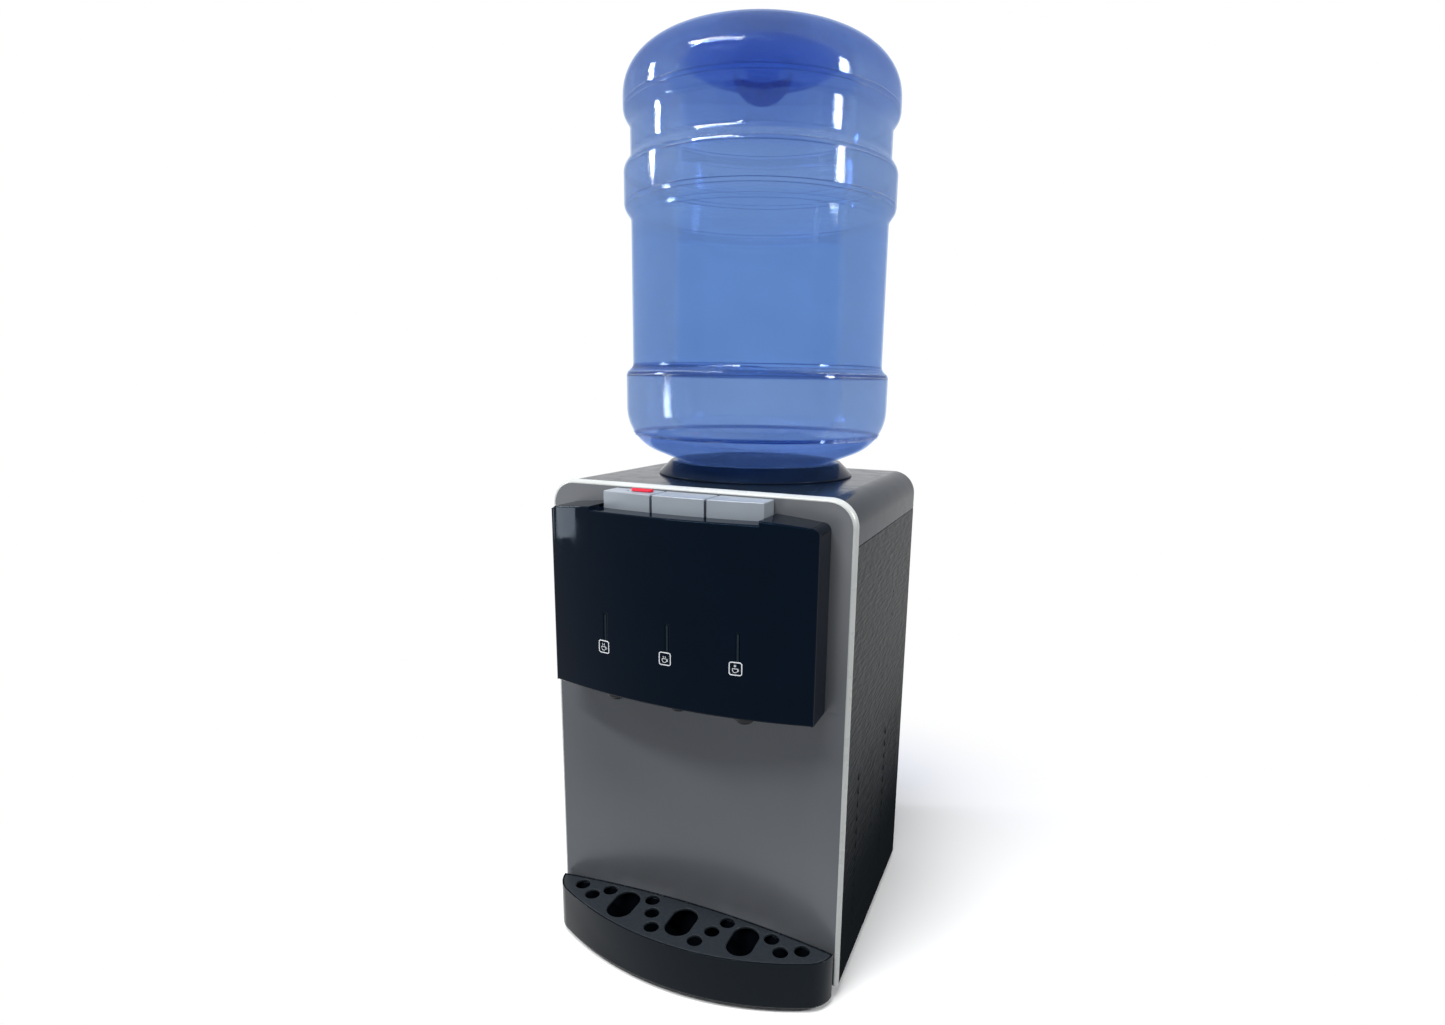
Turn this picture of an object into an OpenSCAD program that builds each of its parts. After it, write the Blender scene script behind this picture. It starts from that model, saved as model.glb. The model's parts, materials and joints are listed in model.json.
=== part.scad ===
// Countertop water dispenser with three taps, a drip tray and an inverted bottle.
// Millimetres, +Z up, front towards -Y. The origin is at the middle of the footprint,
// on the surface that the feet stand on.

/* [Cabinet] */
// Width over the front fascia
cab_w = 310; // [300:1:340]
// Depth from the fascia's front face to the back panel's rear face
cab_d = 250; // [244:1:280]
// Height of the fascia's top edge above the table
top_z = 484; // [476:1:520]
// Radius of the cabinet's two upper edges
corner_r = 25; // [18:1:32]
// Step from the fascia's edge in to the covers behind it
cover_step = 0.8; // [0.4:0.1:1.5]
// Wall of the moulded top cover
cover_wall = 2.5; // [2:0.5:3.5]
// Height of the top cover's side skirt, measured from the fascia's top edge
skirt_h = 42; // [36:1:50]
// Thickness of the sheet steel panels
sheet_t = 1; // [0.8:0.1:1.5]
// Width of the flanges folded in from the panels' rear edges
flange_w = 12; // [10:1:16]

/* [Base] */
// Height of the feet
foot_h = 10; // [8:1:16]
// Radius of a foot
foot_r = 13; // [10:1:16]
// Distance from the covers' sides in to a foot's axis
foot_inset = 24; // [20:1:34]
// Thickness of the base pan
base_t = 1.2; // [1:0.1:2]
// Height of the base pan's upturned flanges
base_flange_h = 14; // [10:1:20]

/* [Fascia] */
// Wall of the moulded fascia
fascia_wall = 3; // [2.5:0.5:4]
// Depth of the visible rim round the fascia
rim_d = 7; // [5:0.5:10]
// Width of the rounding between the rim and the front face
rim_bevel = 3.5; // [2:0.5:5]
// Width of the rim seen from behind
rim_w = 8; // [7:0.5:12]
// Depth of the lip that reaches into the covers
lip_d = 12; // [8:1:16]
// Thickness of that lip
lip_t = 2; // [1.5:0.5:3]
// Height of the fascia's lower edge above the base pan
sill_h = 2; // [1:0.5:5]
// Depth of the hollow behind the cups, at the middle
recess_depth = 11; // [8:0.5:14]
// Half the width of that hollow
recess_hw = 148; // [130:1:149]
// Depth of the hollow at the tray, at the middle
ledge_depth = 7; // [5:0.5:8]
// Height of the sloping ledge under the hollow
ledge_h = 10; // [6:1:16]

/* [Dispensing hood] */
// Half the width of the hood
hood_hw = 132.5; // [125:0.5:136]
// Reach of the hood in front of the fascia, at the middle
hood_proj = 50; // [46:1:60]
// How far the hood's front falls back towards its sides
hood_bow = 17; // [10:1:20]
// Radius of the hood's upright front edges
hood_edge_r = 3; // [3:0.5:6]
// Distance from the fascia's top edge down to the hood's crown
hood_drop = 13.8; // [8:0.2:15]
// How far the hood's crown falls towards its sides
hood_crown = 8; // [6:1:18]
// Radius of the hood's upper corners
hood_top_r = 7; // [6:1:14]
// Height of the hood's lower edge above the table
hood_z0 = 290; // [280:1:300]
// Wall of the hood
hood_wall = 2.5; // [2:0.25:3]
// Distance from the fascia's top edge down to the floor of the button notch
notch_drop = 20.5; // [20:0.5:26]
// Radius of the screw bosses inside the hood
boss_r = 4.5; // [4:0.5:6]
// Heights of the screw bosses above the hood's lower edge
boss_h = [25, 150];
// Radius of the screws' shanks
screw_r = 1.5; // [1.2:0.1:2]
// Radius of the screws' heads
screw_head_r = 3.4; // [3:0.2:4.5]
// Height of the screws' heads
screw_head_h = 2; // [1.5:0.1:3]

/* [Buttons] */
// Width of a button
btn_w = 51.6; // [48:0.2:52]
// Distance between the buttons' centres
btn_pitch = 54; // [53:0.5:56]
// Depth of the ledge in front of the buttons
btn_ledge = 20; // [18:1:24]
// Distance from the fascia's top edge down to the buttons' tops
btn_drop = 4.5; // [3:0.5:6]
// Wall of a button
btn_wall = 1.8; // [1.5:0.1:2.2]
// Travel of a button
btn_travel = 4; // [3:0.5:4]
// Width of the collar that keeps a button in its slot
btn_collar = 0.9; // [0.6:0.1:1]
// Thickness of a push rod, front to back
rod_t = 3; // [2.5:0.5:3]
// Width of a push rod
rod_w = 8; // [6:0.5:9]
// Distance of the push rods in front of the fascia
rod_proj = 7; // [6:0.5:8]
// Height of the rods' guide below the fascia's top edge
guide_drop = 84; // [70:1:100]
// Thickness of the guide
guide_t = 3; // [2:0.5:4]
// Height of the guide's back plate
guide_h = 14; // [10:1:20]
// How far the guide runs past the outer rods
guide_margin = 16; // [10:1:20]
// Length of the child lock's knob
lock_l = 22; // [18:1:24]
// Width of the child lock's knob
lock_w = 8; // [6:0.5:9]
// Height of the child lock's knob
lock_h = 2.6; // [2:0.1:4]
// Travel of the child lock
lock_travel = 6; // [4:0.5:7]
// Distance of the child lock in front of the fascia
lock_proj = 14; // [13:0.5:18]

/* [Taps] */
// Distance between the taps
tap_pitch = 66.5; // [64:0.5:68]
// Distance of the tap spouts in front of the fascia
spout_proj = 27; // [26:0.5:30]
// Height of the taps' inlets above the hood's lower edge
tap_lift = 16; // [15:0.5:20]
// How far the spouts reach below the hood's lower edge
spout_drop = 9.5; // [8:0.5:18]
// Radius of a tap's chamber
chamber_r = 10.5; // [10:0.5:12]
// Radius of a spout
spout_r = 9.5; // [7:0.5:10]
// Size of the slope round a spout's lower edge
spout_slope = 3; // [1:0.5:4]
// Radius of a spout's bore
spout_bore_r = 4; // [3:0.5:4.5]
// Radius of a tap's threaded inlet
inlet_r = 8; // [7:0.5:9]
// Radius of an inlet's bore
inlet_bore_r = 4.5; // [3.5:0.5:5]
// Reach of an inlet behind the fascia's front face
inlet_reach = 26; // [22:1:30]
// Thickness of a tap's clamping nut
nut_t = 6; // [4:0.5:8]
// Radius of a valve stem
stem_r = 2.5; // [2:0.25:3]
// Length of a lever's arm, from its pin to each end
lever_arm = 10; // [9:0.5:11]
// Thickness of a lever
lever_t = 3; // [2.5:0.25:3.5]
// Width of a lever
lever_w = 10; // [9:0.5:11]
// Radius of a lever's pin
pin_r = 1.5; // [1.2:0.1:1.6]
// Height of the levers' pins above the taps' inlets
lever_lift = 22; // [21:0.5:26]
// Radius of the wire of a valve spring
spring_wire_r = 0.4; // [0.3:0.05:0.6]
// Turns of a valve spring
spring_turns = 4; // [3:1:6]

/* [Indicators] */
// Height of the indicator slots above the hood's lower edge
lamp_lift = 52; // [45:1:60]
// Height of an indicator slot
lamp_h = 26; // [20:1:30]
// Width of an indicator slot
lamp_w = 2.2; // [1.5:0.1:3]
// Distance of the lamp board in front of the fascia
board_proj = 33; // [32:0.5:36]
// Thickness of the lamp board
board_t = 1.6; // [1:0.2:2]

/* [Drip tray] */
// Half the width of the tray
tray_hw = 152; // [146:1:154]
// Reach of the tray in front of the fascia
tray_proj = 58; // [54:1:70]
// Radius of the tray's rounded ends
tray_end_r = 30; // [24:1:34]
// Height of the tray's rim above the table
tray_top = 53; // [45:1:60]
// Gap between the tray's underside and the table
tray_lift = 4; // [3:0.5:8]
// Wall of the tray
tray_wall = 2.5; // [2:0.25:3]
// Thickness of the rim that borders the grille
tray_rim = 1.3; // [1:0.1:1.6]
// Width of the shelf that the grille lies on
tray_shelf = 3; // [2.5:0.5:4]
// Half the distance between the tray's two tongues
tongue_x = 60; // [40:1:90]
// Width of a tongue
tongue_w = 26; // [20:1:40]
// Thickness of a tongue
tongue_t = 3; // [2:0.5:4]
// Reach of the tongues past the tray's rear face
tongue_l = 14; // [12:1:16]
// Height of the tongues above the table
tongue_z = 30; // [24:1:36]
// Thickness of the grille
grille_t = 3; // [2:0.5:4]
// Radius of the grille's small holes
hole_r = 7.5; // [6:0.25:8]
// Radius of the ends of the grille's long holes
slot_r = 13.2; // [11:0.2:14]
// Half the distance between those ends' centres
slot_half = 7.5; // [5:0.5:9]
// Distance of the long holes in front of the fascia
slot_proj = 22.8; // [21:0.2:25]

/* [Bottle seat] */
// Distance of the bottle's axis behind the fascia's front face
bottle_setback = 151; // [146:1:156]
// Radius of the collar's foot
collar_r = 103.5; // [100:0.5:108]
// Radius of the collar's rim
collar_rim_r = 90; // [88:0.5:92]
// Height of the collar's rim above the fascia's top edge
collar_rim_h = 13.5; // [12:0.5:14]
// Radius of the hole for the seat in the top cover
seat_hole_r = 94; // [93:0.5:96]
// Outer radius of the band that the bottle's shoulder rests on
rest_r = 80; // [78:0.5:82]
// Inner radius of that band
rest_inner_r = 60; // [56:1:64]
// Height of the band's outer edge above the fascia's top edge
rest_h = 12.7; // [12:0.1:13.2]
// Wall of the seat
seat_wall = 2.5; // [2:0.25:3]
// Radius of the well that takes the bottle's neck
well_r = 36; // [34:0.5:40]
// Depth of the well below the fascia's top edge
well_depth = 82; // [80:1:90]
// Radius of the feed probe
probe_r = 11; // [9:0.5:12]
// Height of the feed probe above the floor of the well
probe_h = 52; // [40:1:60]

/* [Bottle] */
// Largest radius of the bottle
bottle_r = 136.5; // [132:0.5:138]
// Radius of the bottle between its bands
waist_r = 129.7; // [126:0.1:131]
// Height of the bottle
bottle_h = 474; // [470:1:500]
// Wall of the bottle
bottle_wall = 1.5; // [1.2:0.1:2.5]
// Outer radius of the neck
neck_r = 27.5; // [26:0.5:28]
// Height of the centre of the shoulder's arc above the mouth
shoulder_h = 134; // [130:1:138]
// Radius of the shoulder's arc
shoulder_r = 48; // [44:1:52]
// Slope of the shoulder towards the neck
shoulder_slope = 22; // [18:1:25]
// Heights above the mouth where a band turns into the waist or back
band_edges = [172, 324, 369, 411];
// Heights over which those edges round off
band_edge_h = [10, 15, 15, 15];
// Slope of the shoulder where its mould line runs
mould_line_a = 33; // [28:1:38]
// Depth of that line
mould_line_d = 0.6; // [0.4:0.1:0.8]
// Width of the rounding at the bottle's upper end, from the side in to the rim
crown_w = 37.5; // [34:0.5:42]
// Height of that rounding
crown_h = 45; // [40:1:50]
// Depth of the dished base below the rim
dish_depth = 12; // [10:1:14]
// Radius of the pushed-in dome of the bottle's base
dome_r = 28; // [26:1:34]
// Depth of that dome's tip below the bottle's upper end
dome_depth = 43; // [40:1:50]
// Height of the cap that stays on the neck
cap_h = 18; // [14:1:22]
// Wall of that cap
cap_wall = 1.4; // [1.2:0.1:1.8]

/* [Cold tank] */
// Outer radius of the cold tank
tank_r = 66; // [60:1:68]
// Height of the cold tank
tank_h = 135; // [125:1:140]
// Wall of both tanks
tank_wall = 1; // [0.8:0.1:1.2]
// Radius of the refrigerant tube wound round the cold tank
evap_r = 3.5; // [3:0.25:4]
// Turns of that tube
evap_turns = 5; // [4:1:7]
// Outer radius of the foam round the cold tank
foam_r = 91; // [88:1:92]
// Thickness of the foam under the cold tank
foam_base = 22; // [18:1:26]
// Height of the flanges under the shelf that carries the foam
shelf_flange_h = 16; // [10:1:20]
// Radius of the water connections
stub_r = 4; // [3:0.5:4.5]
// Radius of the silicone hoses
hose_r = 5; // [4.5:0.25:5.5]

/* [Hot tank] */
// Outer radius of the hot tank
hot_r = 42; // [38:1:44]
// Height of the hot tank
hot_h = 130; // [120:1:135]
// Distance from the hot tank's top up to the shelf under the cold tank
hot_gap = 21.3; // [18:0.1:28]
// Distance of the hot tank's axis left of the middle
hot_x = 85; // [82:1:90]
// Distance of the hot tank's axis in front of the bottle's axis
hot_dy = 5; // [0:1:15]
// Thickness of the band heater
heater_t = 2.5; // [2:0.5:4]
// Height of the band heater
heater_h = 40; // [30:1:50]

/* [Cooling unit] */
// Radius of the compressor's shell
comp_r = 50; // [44:1:54]
// Height of the compressor's shell
comp_h = 108; // [95:1:120]
// Distance of the compressor's axis right of the middle
comp_x = 72; // [68:1:78]
// Length of the compressor's foot plate
comp_foot_l = 132; // [120:1:140]
// Width of the compressor's foot plate
comp_foot_w = 84; // [76:1:90]
// Height of the compressor's rubber mounts
mount_h = 13; // [10:1:16]
// Distance from the back panel to the condenser's tube
cond_gap = 32; // [28:1:34]
// Radius of the condenser's tube
cond_r = 2.4; // [2:0.1:3]
// Half the length of the condenser's straight runs
cond_hw = 100; // [90:1:108]
// Number of the condenser's straight runs
cond_runs = 10; // [6:2:12]
// Distance between those runs
cond_pitch = 28; // [24:1:29]
// Height of the lowest run above the table
cond_z0 = 132; // [125:1:140]
// Radius of the condenser's wires
wire_r = 0.8; // [0.6:0.1:1]
// Number of wires on each side of the condenser
wire_count = 22; // [12:1:30]

/* [Side louvres] */
// Number of louvres in each of a panel's two columns
louvre_count = 12; // [8:1:16]
// Length of a louvre
louvre_l = 67; // [50:1:76]
// Distance between louvres
louvre_pitch = 14.4; // [12:0.2:16]
// Opening height of a louvre
louvre_gap = 4; // [2.5:0.1:5]
// Height over which a louvre slopes back to its panel
louvre_rise = 9; // [7:0.5:11]
// How far a louvre stands out from its panel
louvre_out = 0.8; // [0.3:0.1:0.8]
// Height of the lowest louvre above the table
louvre_z0 = 46; // [40:1:60]
// Distance of the front column behind the fascia's front face
louvre_y0 = 50; // [40:1:56]
// Gap between the two columns
louvre_between = 45; // [30:1:50]
// Distance of the two small holes behind the fascia's front face
pin_hole_y = 165; // [120:1:200]
// Height of the lower one above the table
pin_hole_z = 340; // [260:1:400]
// Distance between them
pin_hole_pitch = 25; // [16:1:34]
// Radius of both
pin_hole_r = 1.2; // [0.8:0.1:2]

/* [Rear fittings] */
// Height of the rear fittings above the table
fit_z = 76; // [70:1:90]
// Distance of the heater's switch in from the right panel
switch_inset = 83.2; // [74:0.2:92]
// Distance between the two switches
switch_pitch = 36; // [32:1:44]
// Swing of a switch's rocker from one side to the other
rocker_swing = 24; // [16:1:26]
// Half the length of a rocker
rocker_r = 11; // [10:0.5:12]
// Width of a rocker
rocker_w = 10; // [8:0.5:12]
// Radius of the cord gland's hole
gland_bore_r = 4; // [3:0.5:5]
// Outer radius of the cord gland
gland_r = 9; // [8:0.5:11]
// Distance of the cord gland right of the middle
gland_x = 30; // [20:1:36]
// Height of the drain spout above the table
drain_z = 40; // [36:1:46]
// Radius of the drain spout
drain_r = 9; // [7:0.5:11]
// Length of the drain spout behind the back panel
drain_l = 12; // [10:1:18]

/* [Fits] */
// Gap round parts that are fitted together and stay put
fit_gap = 0.3; // [0.2:0.05:0.4]
// Gap round parts that slide
slide_gap = 0.4; // [0.3:0.05:0.6]
// Gap between a pin and the hole that it turns in
pin_gap = 0.06; // [0.03:0.01:0.09]
// Gap under a piece that rests on another body
rest_gap = 0.35; // [0.2:0.05:0.5]

/* [Hidden] */
$fn = 96;
// Facets for the very large arcs
wide_fn = 720;
// How far a cut runs past the face that it opens
cut = 1;

silver = [0.60, 0.61, 0.64];
black = [0.05, 0.06, 0.08];
dark_grey = [0.20, 0.22, 0.24];
steel = [0.72, 0.73, 0.74];
white = [0.92, 0.92, 0.90];
copper = [0.72, 0.43, 0.28];

// Where the cabinet stands
cond_reach = cond_gap + cond_r + 2 * wire_r + fit_gap;
rear_reach = max(cab_d + cond_reach, bottle_setback + bottle_r);
front_y = -(tray_proj + rear_reach) / 2 + tray_proj;
back_y = front_y + cab_d;
panel_y0 = front_y + rim_d;
seat_y = front_y + bottle_setback;
cond_y = back_y + cond_gap;

// Levels and half widths of the covers
cover_top = top_z - cover_step;
shell_hw = cab_w / 2 - cover_step;
inner_hw = shell_hw - sheet_t;
skirt_z = top_z - skirt_h;
fascia_z0 = foot_h + sill_h;
base_top = foot_h + base_t;
base_y0 = front_y + rim_d + lip_d;
base_y1 = back_y - sheet_t;
lip_inset = cover_step + cover_wall + fit_gap;

// The hollow in the fascia is cut by an upright cylinder in front of it
recess_r = (pow(recess_hw, 2) + pow(recess_depth, 2)) / (2 * recess_depth);
recess_y = front_y + recess_depth - recess_r;
low_recess_r = recess_r - (recess_depth - ledge_depth);
recess_z1 = hood_z0 + 2;
crease_z = tray_top + ledge_h;

// Hood and buttons
hood_r = (pow(hood_hw, 2) + pow(hood_bow, 2)) / (2 * hood_bow);
crown_r = (pow(hood_hw, 2) + pow(hood_crown, 2)) / (2 * hood_crown);
hood_z1 = top_z - hood_drop;
notch_z = top_z - notch_drop;
btn_top = top_z - btn_drop;
btn_proj = hood_proj - btn_ledge;
btn_row_hw = btn_pitch + btn_w / 2;
notch_hw = btn_row_hw + slide_gap + 2;
collar_z = notch_z - hood_wall - fit_gap;
collar_t = 2.5;
ceiling_z = btn_top - btn_wall;
btn_z0 = collar_z - collar_t;
boss_x = hood_hw - hood_wall - boss_r + 0.5;

// Taps
tap_xs = [-tap_pitch, 0, tap_pitch];
tap_z = hood_z0 + tap_lift;
spout_y = front_y - spout_proj;
pin_y = front_y - rod_proj - lever_arm;
pin_z = tap_z + lever_lift;
chamber_z0 = tap_z - chamber_r - 2;
chamber_z1 = tap_z + chamber_r - 1;
gland_z1 = chamber_z1 + 5;
spout_z0 = hood_z0 - spout_drop;
plunger_r = 6.5;
plunger_h = 5;
plunger_z0 = chamber_z0 + 3;
spring_z0 = plunger_z0 + plunger_h + 0.3;
spring_z1 = chamber_z1 - 0.3;
spring_r = stem_r + 1.6;
ear_t = 2.5;
ear_x = lever_w / 2 + fit_gap;
nose_r = lever_t / 2;
guide_z = top_z - guide_drop;

// Indicators
lamp_z0 = hood_z0 + lamp_lift;
board_y = front_y - board_proj;
led_d = 1.5;

// Drip tray: the front arc and the round ends share a tangent
tray_r = (pow(tray_hw - tray_end_r, 2) / (tray_proj - tray_end_r)
    + tray_end_r + tray_proj) / 2;
tray_back_r = low_recess_r - slide_gap;
// Half the spacing of each pair of small holes, and its distance in front of the fascia
hole_pairs = [[123, 12.7], [104.7, 22.4], [91, 9.2], [42.5, 5.5], [33.5, 22.7], [23.8, 41]];

// Bottle: heights above its mouth
shoulder_cr = bottle_r - shoulder_r;
shoulder_end_r = shoulder_cr + shoulder_r * sin(shoulder_slope);
shoulder_end_h = shoulder_h - shoulder_r * cos(shoulder_slope);
function shoulder_at(r) = shoulder_end_h - (shoulder_end_r - r) * tan(shoulder_slope);
bottle_z0 = top_z + rest_h + rest_gap - shoulder_at(rest_r);
neck_fillet = 8;
bead_r = neck_r + 1.3;
cap_bore_r = probe_r + 4;

// Seat: heights above the fascia's top edge
function rest_at(r) = rest_h - (rest_r - r) * tan(shoulder_slope);
spigot_r = seat_hole_r - fit_gap;
spigot_h = 14;
well_floor = top_z - well_depth;

// Cold tank
tank_z1 = well_floor - seat_wall + 6;
tank_z0 = tank_z1 - tank_h;
tank_mouth_r = well_r + seat_wall + fit_gap;
seal_w = 6;
seal_h = 4;
evap_path_r = tank_r + fit_gap + evap_r;
foam_bore_r = evap_path_r + evap_r + fit_gap;
foam_z0 = tank_z0 - foam_base;
foam_z1 = tank_z1 - 8;
shelf_z1 = foam_z0;
shelf_z0 = shelf_z1 - 2 * sheet_t;
shelf_y0 = seat_y - foam_r - 3;
stub_z = shelf_z0 - 6;
baffle_z = tank_z0 + 0.62 * tank_h;
side_stub_z = tank_z1 - 22;
// Places of the two connections under the cold tank, from the bottle's axis
cold_stub = [40, -25];
link_stub = [-30, 8];

// Hot tank
hot_cx = -hot_x;
hot_cy = seat_y - hot_dy;
hot_z1 = shelf_z0 - hot_gap;
hot_z0 = hot_z1 - hot_h;
heater_z = hot_z0 + 35;
drain_dy = 18;
hot_feed_dy = -14;
hot_stub_l = 9;

// Cooling unit
comp_cy = seat_y + 4;
comp_z0 = base_top + mount_h;
cond_top = cond_z0 + (cond_runs - 1) * cond_pitch;
bolt_x = comp_foot_l / 2 - 11;
bolt_y = comp_foot_w / 2 - 11;
wire_step = 2 * (cond_hw - 6) / (wire_count - 1);

// Rear fittings
rocker_y = back_y - 1;
switch_x = inner_hw - switch_inset;
switch_xs = [switch_x, switch_x + switch_pitch];
drain_x = hot_cx;

// ---- Shared shapes ----

// A flat base, straight sides and a round top: half width, height, corner radius
module arch(half_w, h, r) {
    translate([-half_w, 0]) square([2 * half_w, h - r]);
    translate([-(half_w - r), 0]) square([2 * (half_w - r), h]);
    intersection() {
        for (s = [-1, 1]) translate([s * (half_w - r), h - r]) circle(r);
        translate([-half_w, 0]) square([2 * half_w, h]);
    }
}

// A flat base, straight sides and a bowed top of radius bow_r with corners of radius r
module bowed(half_w, h, bow_r, r, base = 0) {
    cx = half_w - r;
    corner_y = h - bow_r + sqrt(pow(bow_r - r, 2) - pow(cx, 2));
    tangent_x = cx * bow_r / (bow_r - r);
    intersection() {
        translate([0, h - bow_r]) circle(bow_r, $fn = wide_fn);
        translate([-tangent_x, -base]) square([2 * tangent_x, h + base]);
    }
    for (s = [-1, 1]) translate([s * cx, corner_y]) circle(r);
    translate([-half_w, -base]) square([2 * half_w, corner_y + base]);
}

// Runs an outline drawn in X and Z from y0 back to y1
module along_y(y0, y1) {
    translate([0, y1, 0]) rotate([90, 0, 0]) linear_extrude(y1 - y0) children();
}

// A cylinder along Y from y0 back to y1
module rod_y(x, z, r, y0, y1) {
    translate([x, y1, z]) rotate([90, 0, 0]) cylinder(r = r, h = y1 - y0);
}

// A cylinder along X, centred on x
module rod_x(x, y, z, r, l) {
    translate([x - l / 2, y, z]) rotate([0, 90, 0]) cylinder(r = r, h = l);
}

// A block centred on x, from y0 to y1 and z0 to z1
module block(x, w, y0, y1, z0, z1) {
    translate([x - w / 2, y0, z0]) cube([w, y1 - y0, z1 - z0]);
}

// A pan-head screw whose head lies on z = 0 and whose shank points down
module screw(shank) {
    cylinder(r = screw_head_r, h = screw_head_h);
    translate([0, 0, -shank]) cylinder(r = screw_r, h = shank);
}

function unit(v) = v / norm(v);
function arc_pts(cx, cz, r, a0, a1, n) =
    [for (i = [0:n]) [cx + r * cos(a0 + (a1 - a0) * i / n), cz + r * sin(a0 + (a1 - a0) * i / n)]];
// A smooth step from radius r0 at z0 to radius r1 at z1
function step_pts(z0, z1, r0, r1, n) =
    [for (i = [0:n]) [r0 + (r1 - r0) * (1 - cos(180 * i / n)) / 2, z0 + (z1 - z0) * i / n]];
function normal_at(p, i) =
    let (d = unit(p[min(i + 1, len(p) - 1)] - p[max(i - 1, 0)])) [-d[1], d[0]];
// A line of points moved sideways by d, kept off the axis
function beside(p, d) =
    [for (i = [0:len(p) - 1]) let (q = p[i] + d * normal_at(p, i)) [max(q[0], 0), q[1]]];
function reversed(p) = [for (i = [len(p) - 1:-1:0]) p[i]];

// Smooth curve through hand-chosen points, n steps a stretch
function curve_point(a, b, c, d, t) = 0.5 * (2 * b + (c - a) * t
    + (2 * a - 5 * b + 4 * c - d) * t * t + (3 * b - a - 3 * c + d) * t * t * t);
function curve(p, n) = concat([for (i = [0:len(p) - 2], j = [0:n - 1])
    curve_point(p[max(i - 1, 0)], p[i], p[i + 1], p[min(i + 2, len(p) - 1)], j / n)],
    [p[len(p) - 1]]);
function tangent_at(p, i) = unit(p[min(i + 1, len(p) - 1)] - p[max(i - 1, 0)]);
function across(n, t) = unit(n - (n * t) * t);
function normals(p, n, i = 0) = let (m = across(n, tangent_at(p, i)))
    i == len(p) - 1 ? [m] : concat([m], normals(p, m, i + 1));

// A round bar of radius r along a line of points
module sweep(p, r, sides = 10) {
    n = normals(p, [0.31, 0.87, 0.38]);
    pts = [for (i = [0:len(p) - 1], k = [0:sides - 1])
        let (a = 360 * k / sides, t = tangent_at(p, i))
        p[i] + r * (cos(a) * n[i] + sin(a) * cross(t, n[i]))];
    walls = [for (i = [0:len(p) - 2], k = [0:sides - 1])
        [i * sides + k, i * sides + (k + 1) % sides, (i + 1) * sides + (k + 1) % sides,
            (i + 1) * sides + k]];
    start = [for (k = [sides - 1:-1:0]) k];
    end = [for (k = [0:sides - 1]) (len(p) - 1) * sides + k];
    polyhedron(points = pts, faces = concat([for (f = walls) reversed(f)],
        [reversed(start)], [reversed(end)]));
}

// ---- Cabinet ----

module front_outline(inset) {
    translate([0, fascia_z0 + inset])
        arch(cab_w / 2 - inset, top_z - fascia_z0 - 2 * inset, corner_r - inset);
}

module front_fascia() {
    rim_edge = 1.5;
    color(silver) difference() {
        union() {
            along_y(front_y, front_y + fascia_wall) front_outline(rim_bevel);
            difference() {
                hull() {
                    along_y(panel_y0 - rim_edge, panel_y0) front_outline(0);
                    for (a = [22.5:22.5:90]) {
                        y = front_y + (rim_d - rim_edge) * (1 - sin(a));
                        along_y(y, y + 0.1) front_outline(rim_bevel * (1 - cos(a)));
                    }
                }
                along_y(front_y - cut, panel_y0 + cut) front_outline(rim_w);
            }
            difference() {
                along_y(panel_y0 - cut, panel_y0 + lip_d) front_outline(lip_inset);
                along_y(front_y, panel_y0 + lip_d + cut) front_outline(lip_inset + lip_t);
            }
            intersection() {
                translate([0, recess_y, fascia_z0])
                    cylinder(r = recess_r + fascia_wall, h = recess_z1 + fascia_wall - fascia_z0,
                        $fn = wide_fn);
                block(0, 2 * recess_hw, front_y, base_y0, fascia_z0, recess_z1 + fascia_wall);
            }
        }
        translate([0, recess_y, crease_z])
            cylinder(r = recess_r, h = recess_z1 - crease_z, $fn = wide_fn);
        translate([0, recess_y, tray_top])
            cylinder(r1 = low_recess_r, r2 = recess_r, h = ledge_h, $fn = wide_fn);
        translate([0, recess_y, fascia_z0 - cut])
            cylinder(r = low_recess_r, h = tray_top - fascia_z0 + cut, $fn = wide_fn);
        for (x = tap_xs) rod_y(x, tap_z, inlet_r + fit_gap, front_y - cut, base_y0);
        for (s = [-1, 1]) {
            block(s * tongue_x, tongue_w + 2 * slide_gap, front_y - cut, base_y0 + cut,
                tongue_z - slide_gap, tongue_z + tongue_t + slide_gap);
            for (h = boss_h)
                rod_y(s * boss_x, hood_z0 + h, screw_r + fit_gap, front_y - cut, base_y0);
        }
        rod_y(0, lamp_z0 + lamp_h, 6, front_y - cut, base_y0);
    }
}

module top_cover() {
    r = corner_r - cover_step;
    color(black) difference() {
        translate([0, 0, skirt_z]) along_y(panel_y0, back_y)
            arch(shell_hw, cover_top - skirt_z, r);
        translate([0, 0, skirt_z - cut]) along_y(panel_y0 - cut, back_y - cover_wall)
            arch(shell_hw - cover_wall, cover_top - cover_wall - skirt_z + cut, r - cover_wall);
        translate([0, seat_y, skirt_z]) cylinder(r = seat_hole_r, h = skirt_h);
    }
}

// Y positions of the louvres' columns
louvre_ys = [front_y + louvre_y0, front_y + louvre_y0 + louvre_l + louvre_between];

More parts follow.
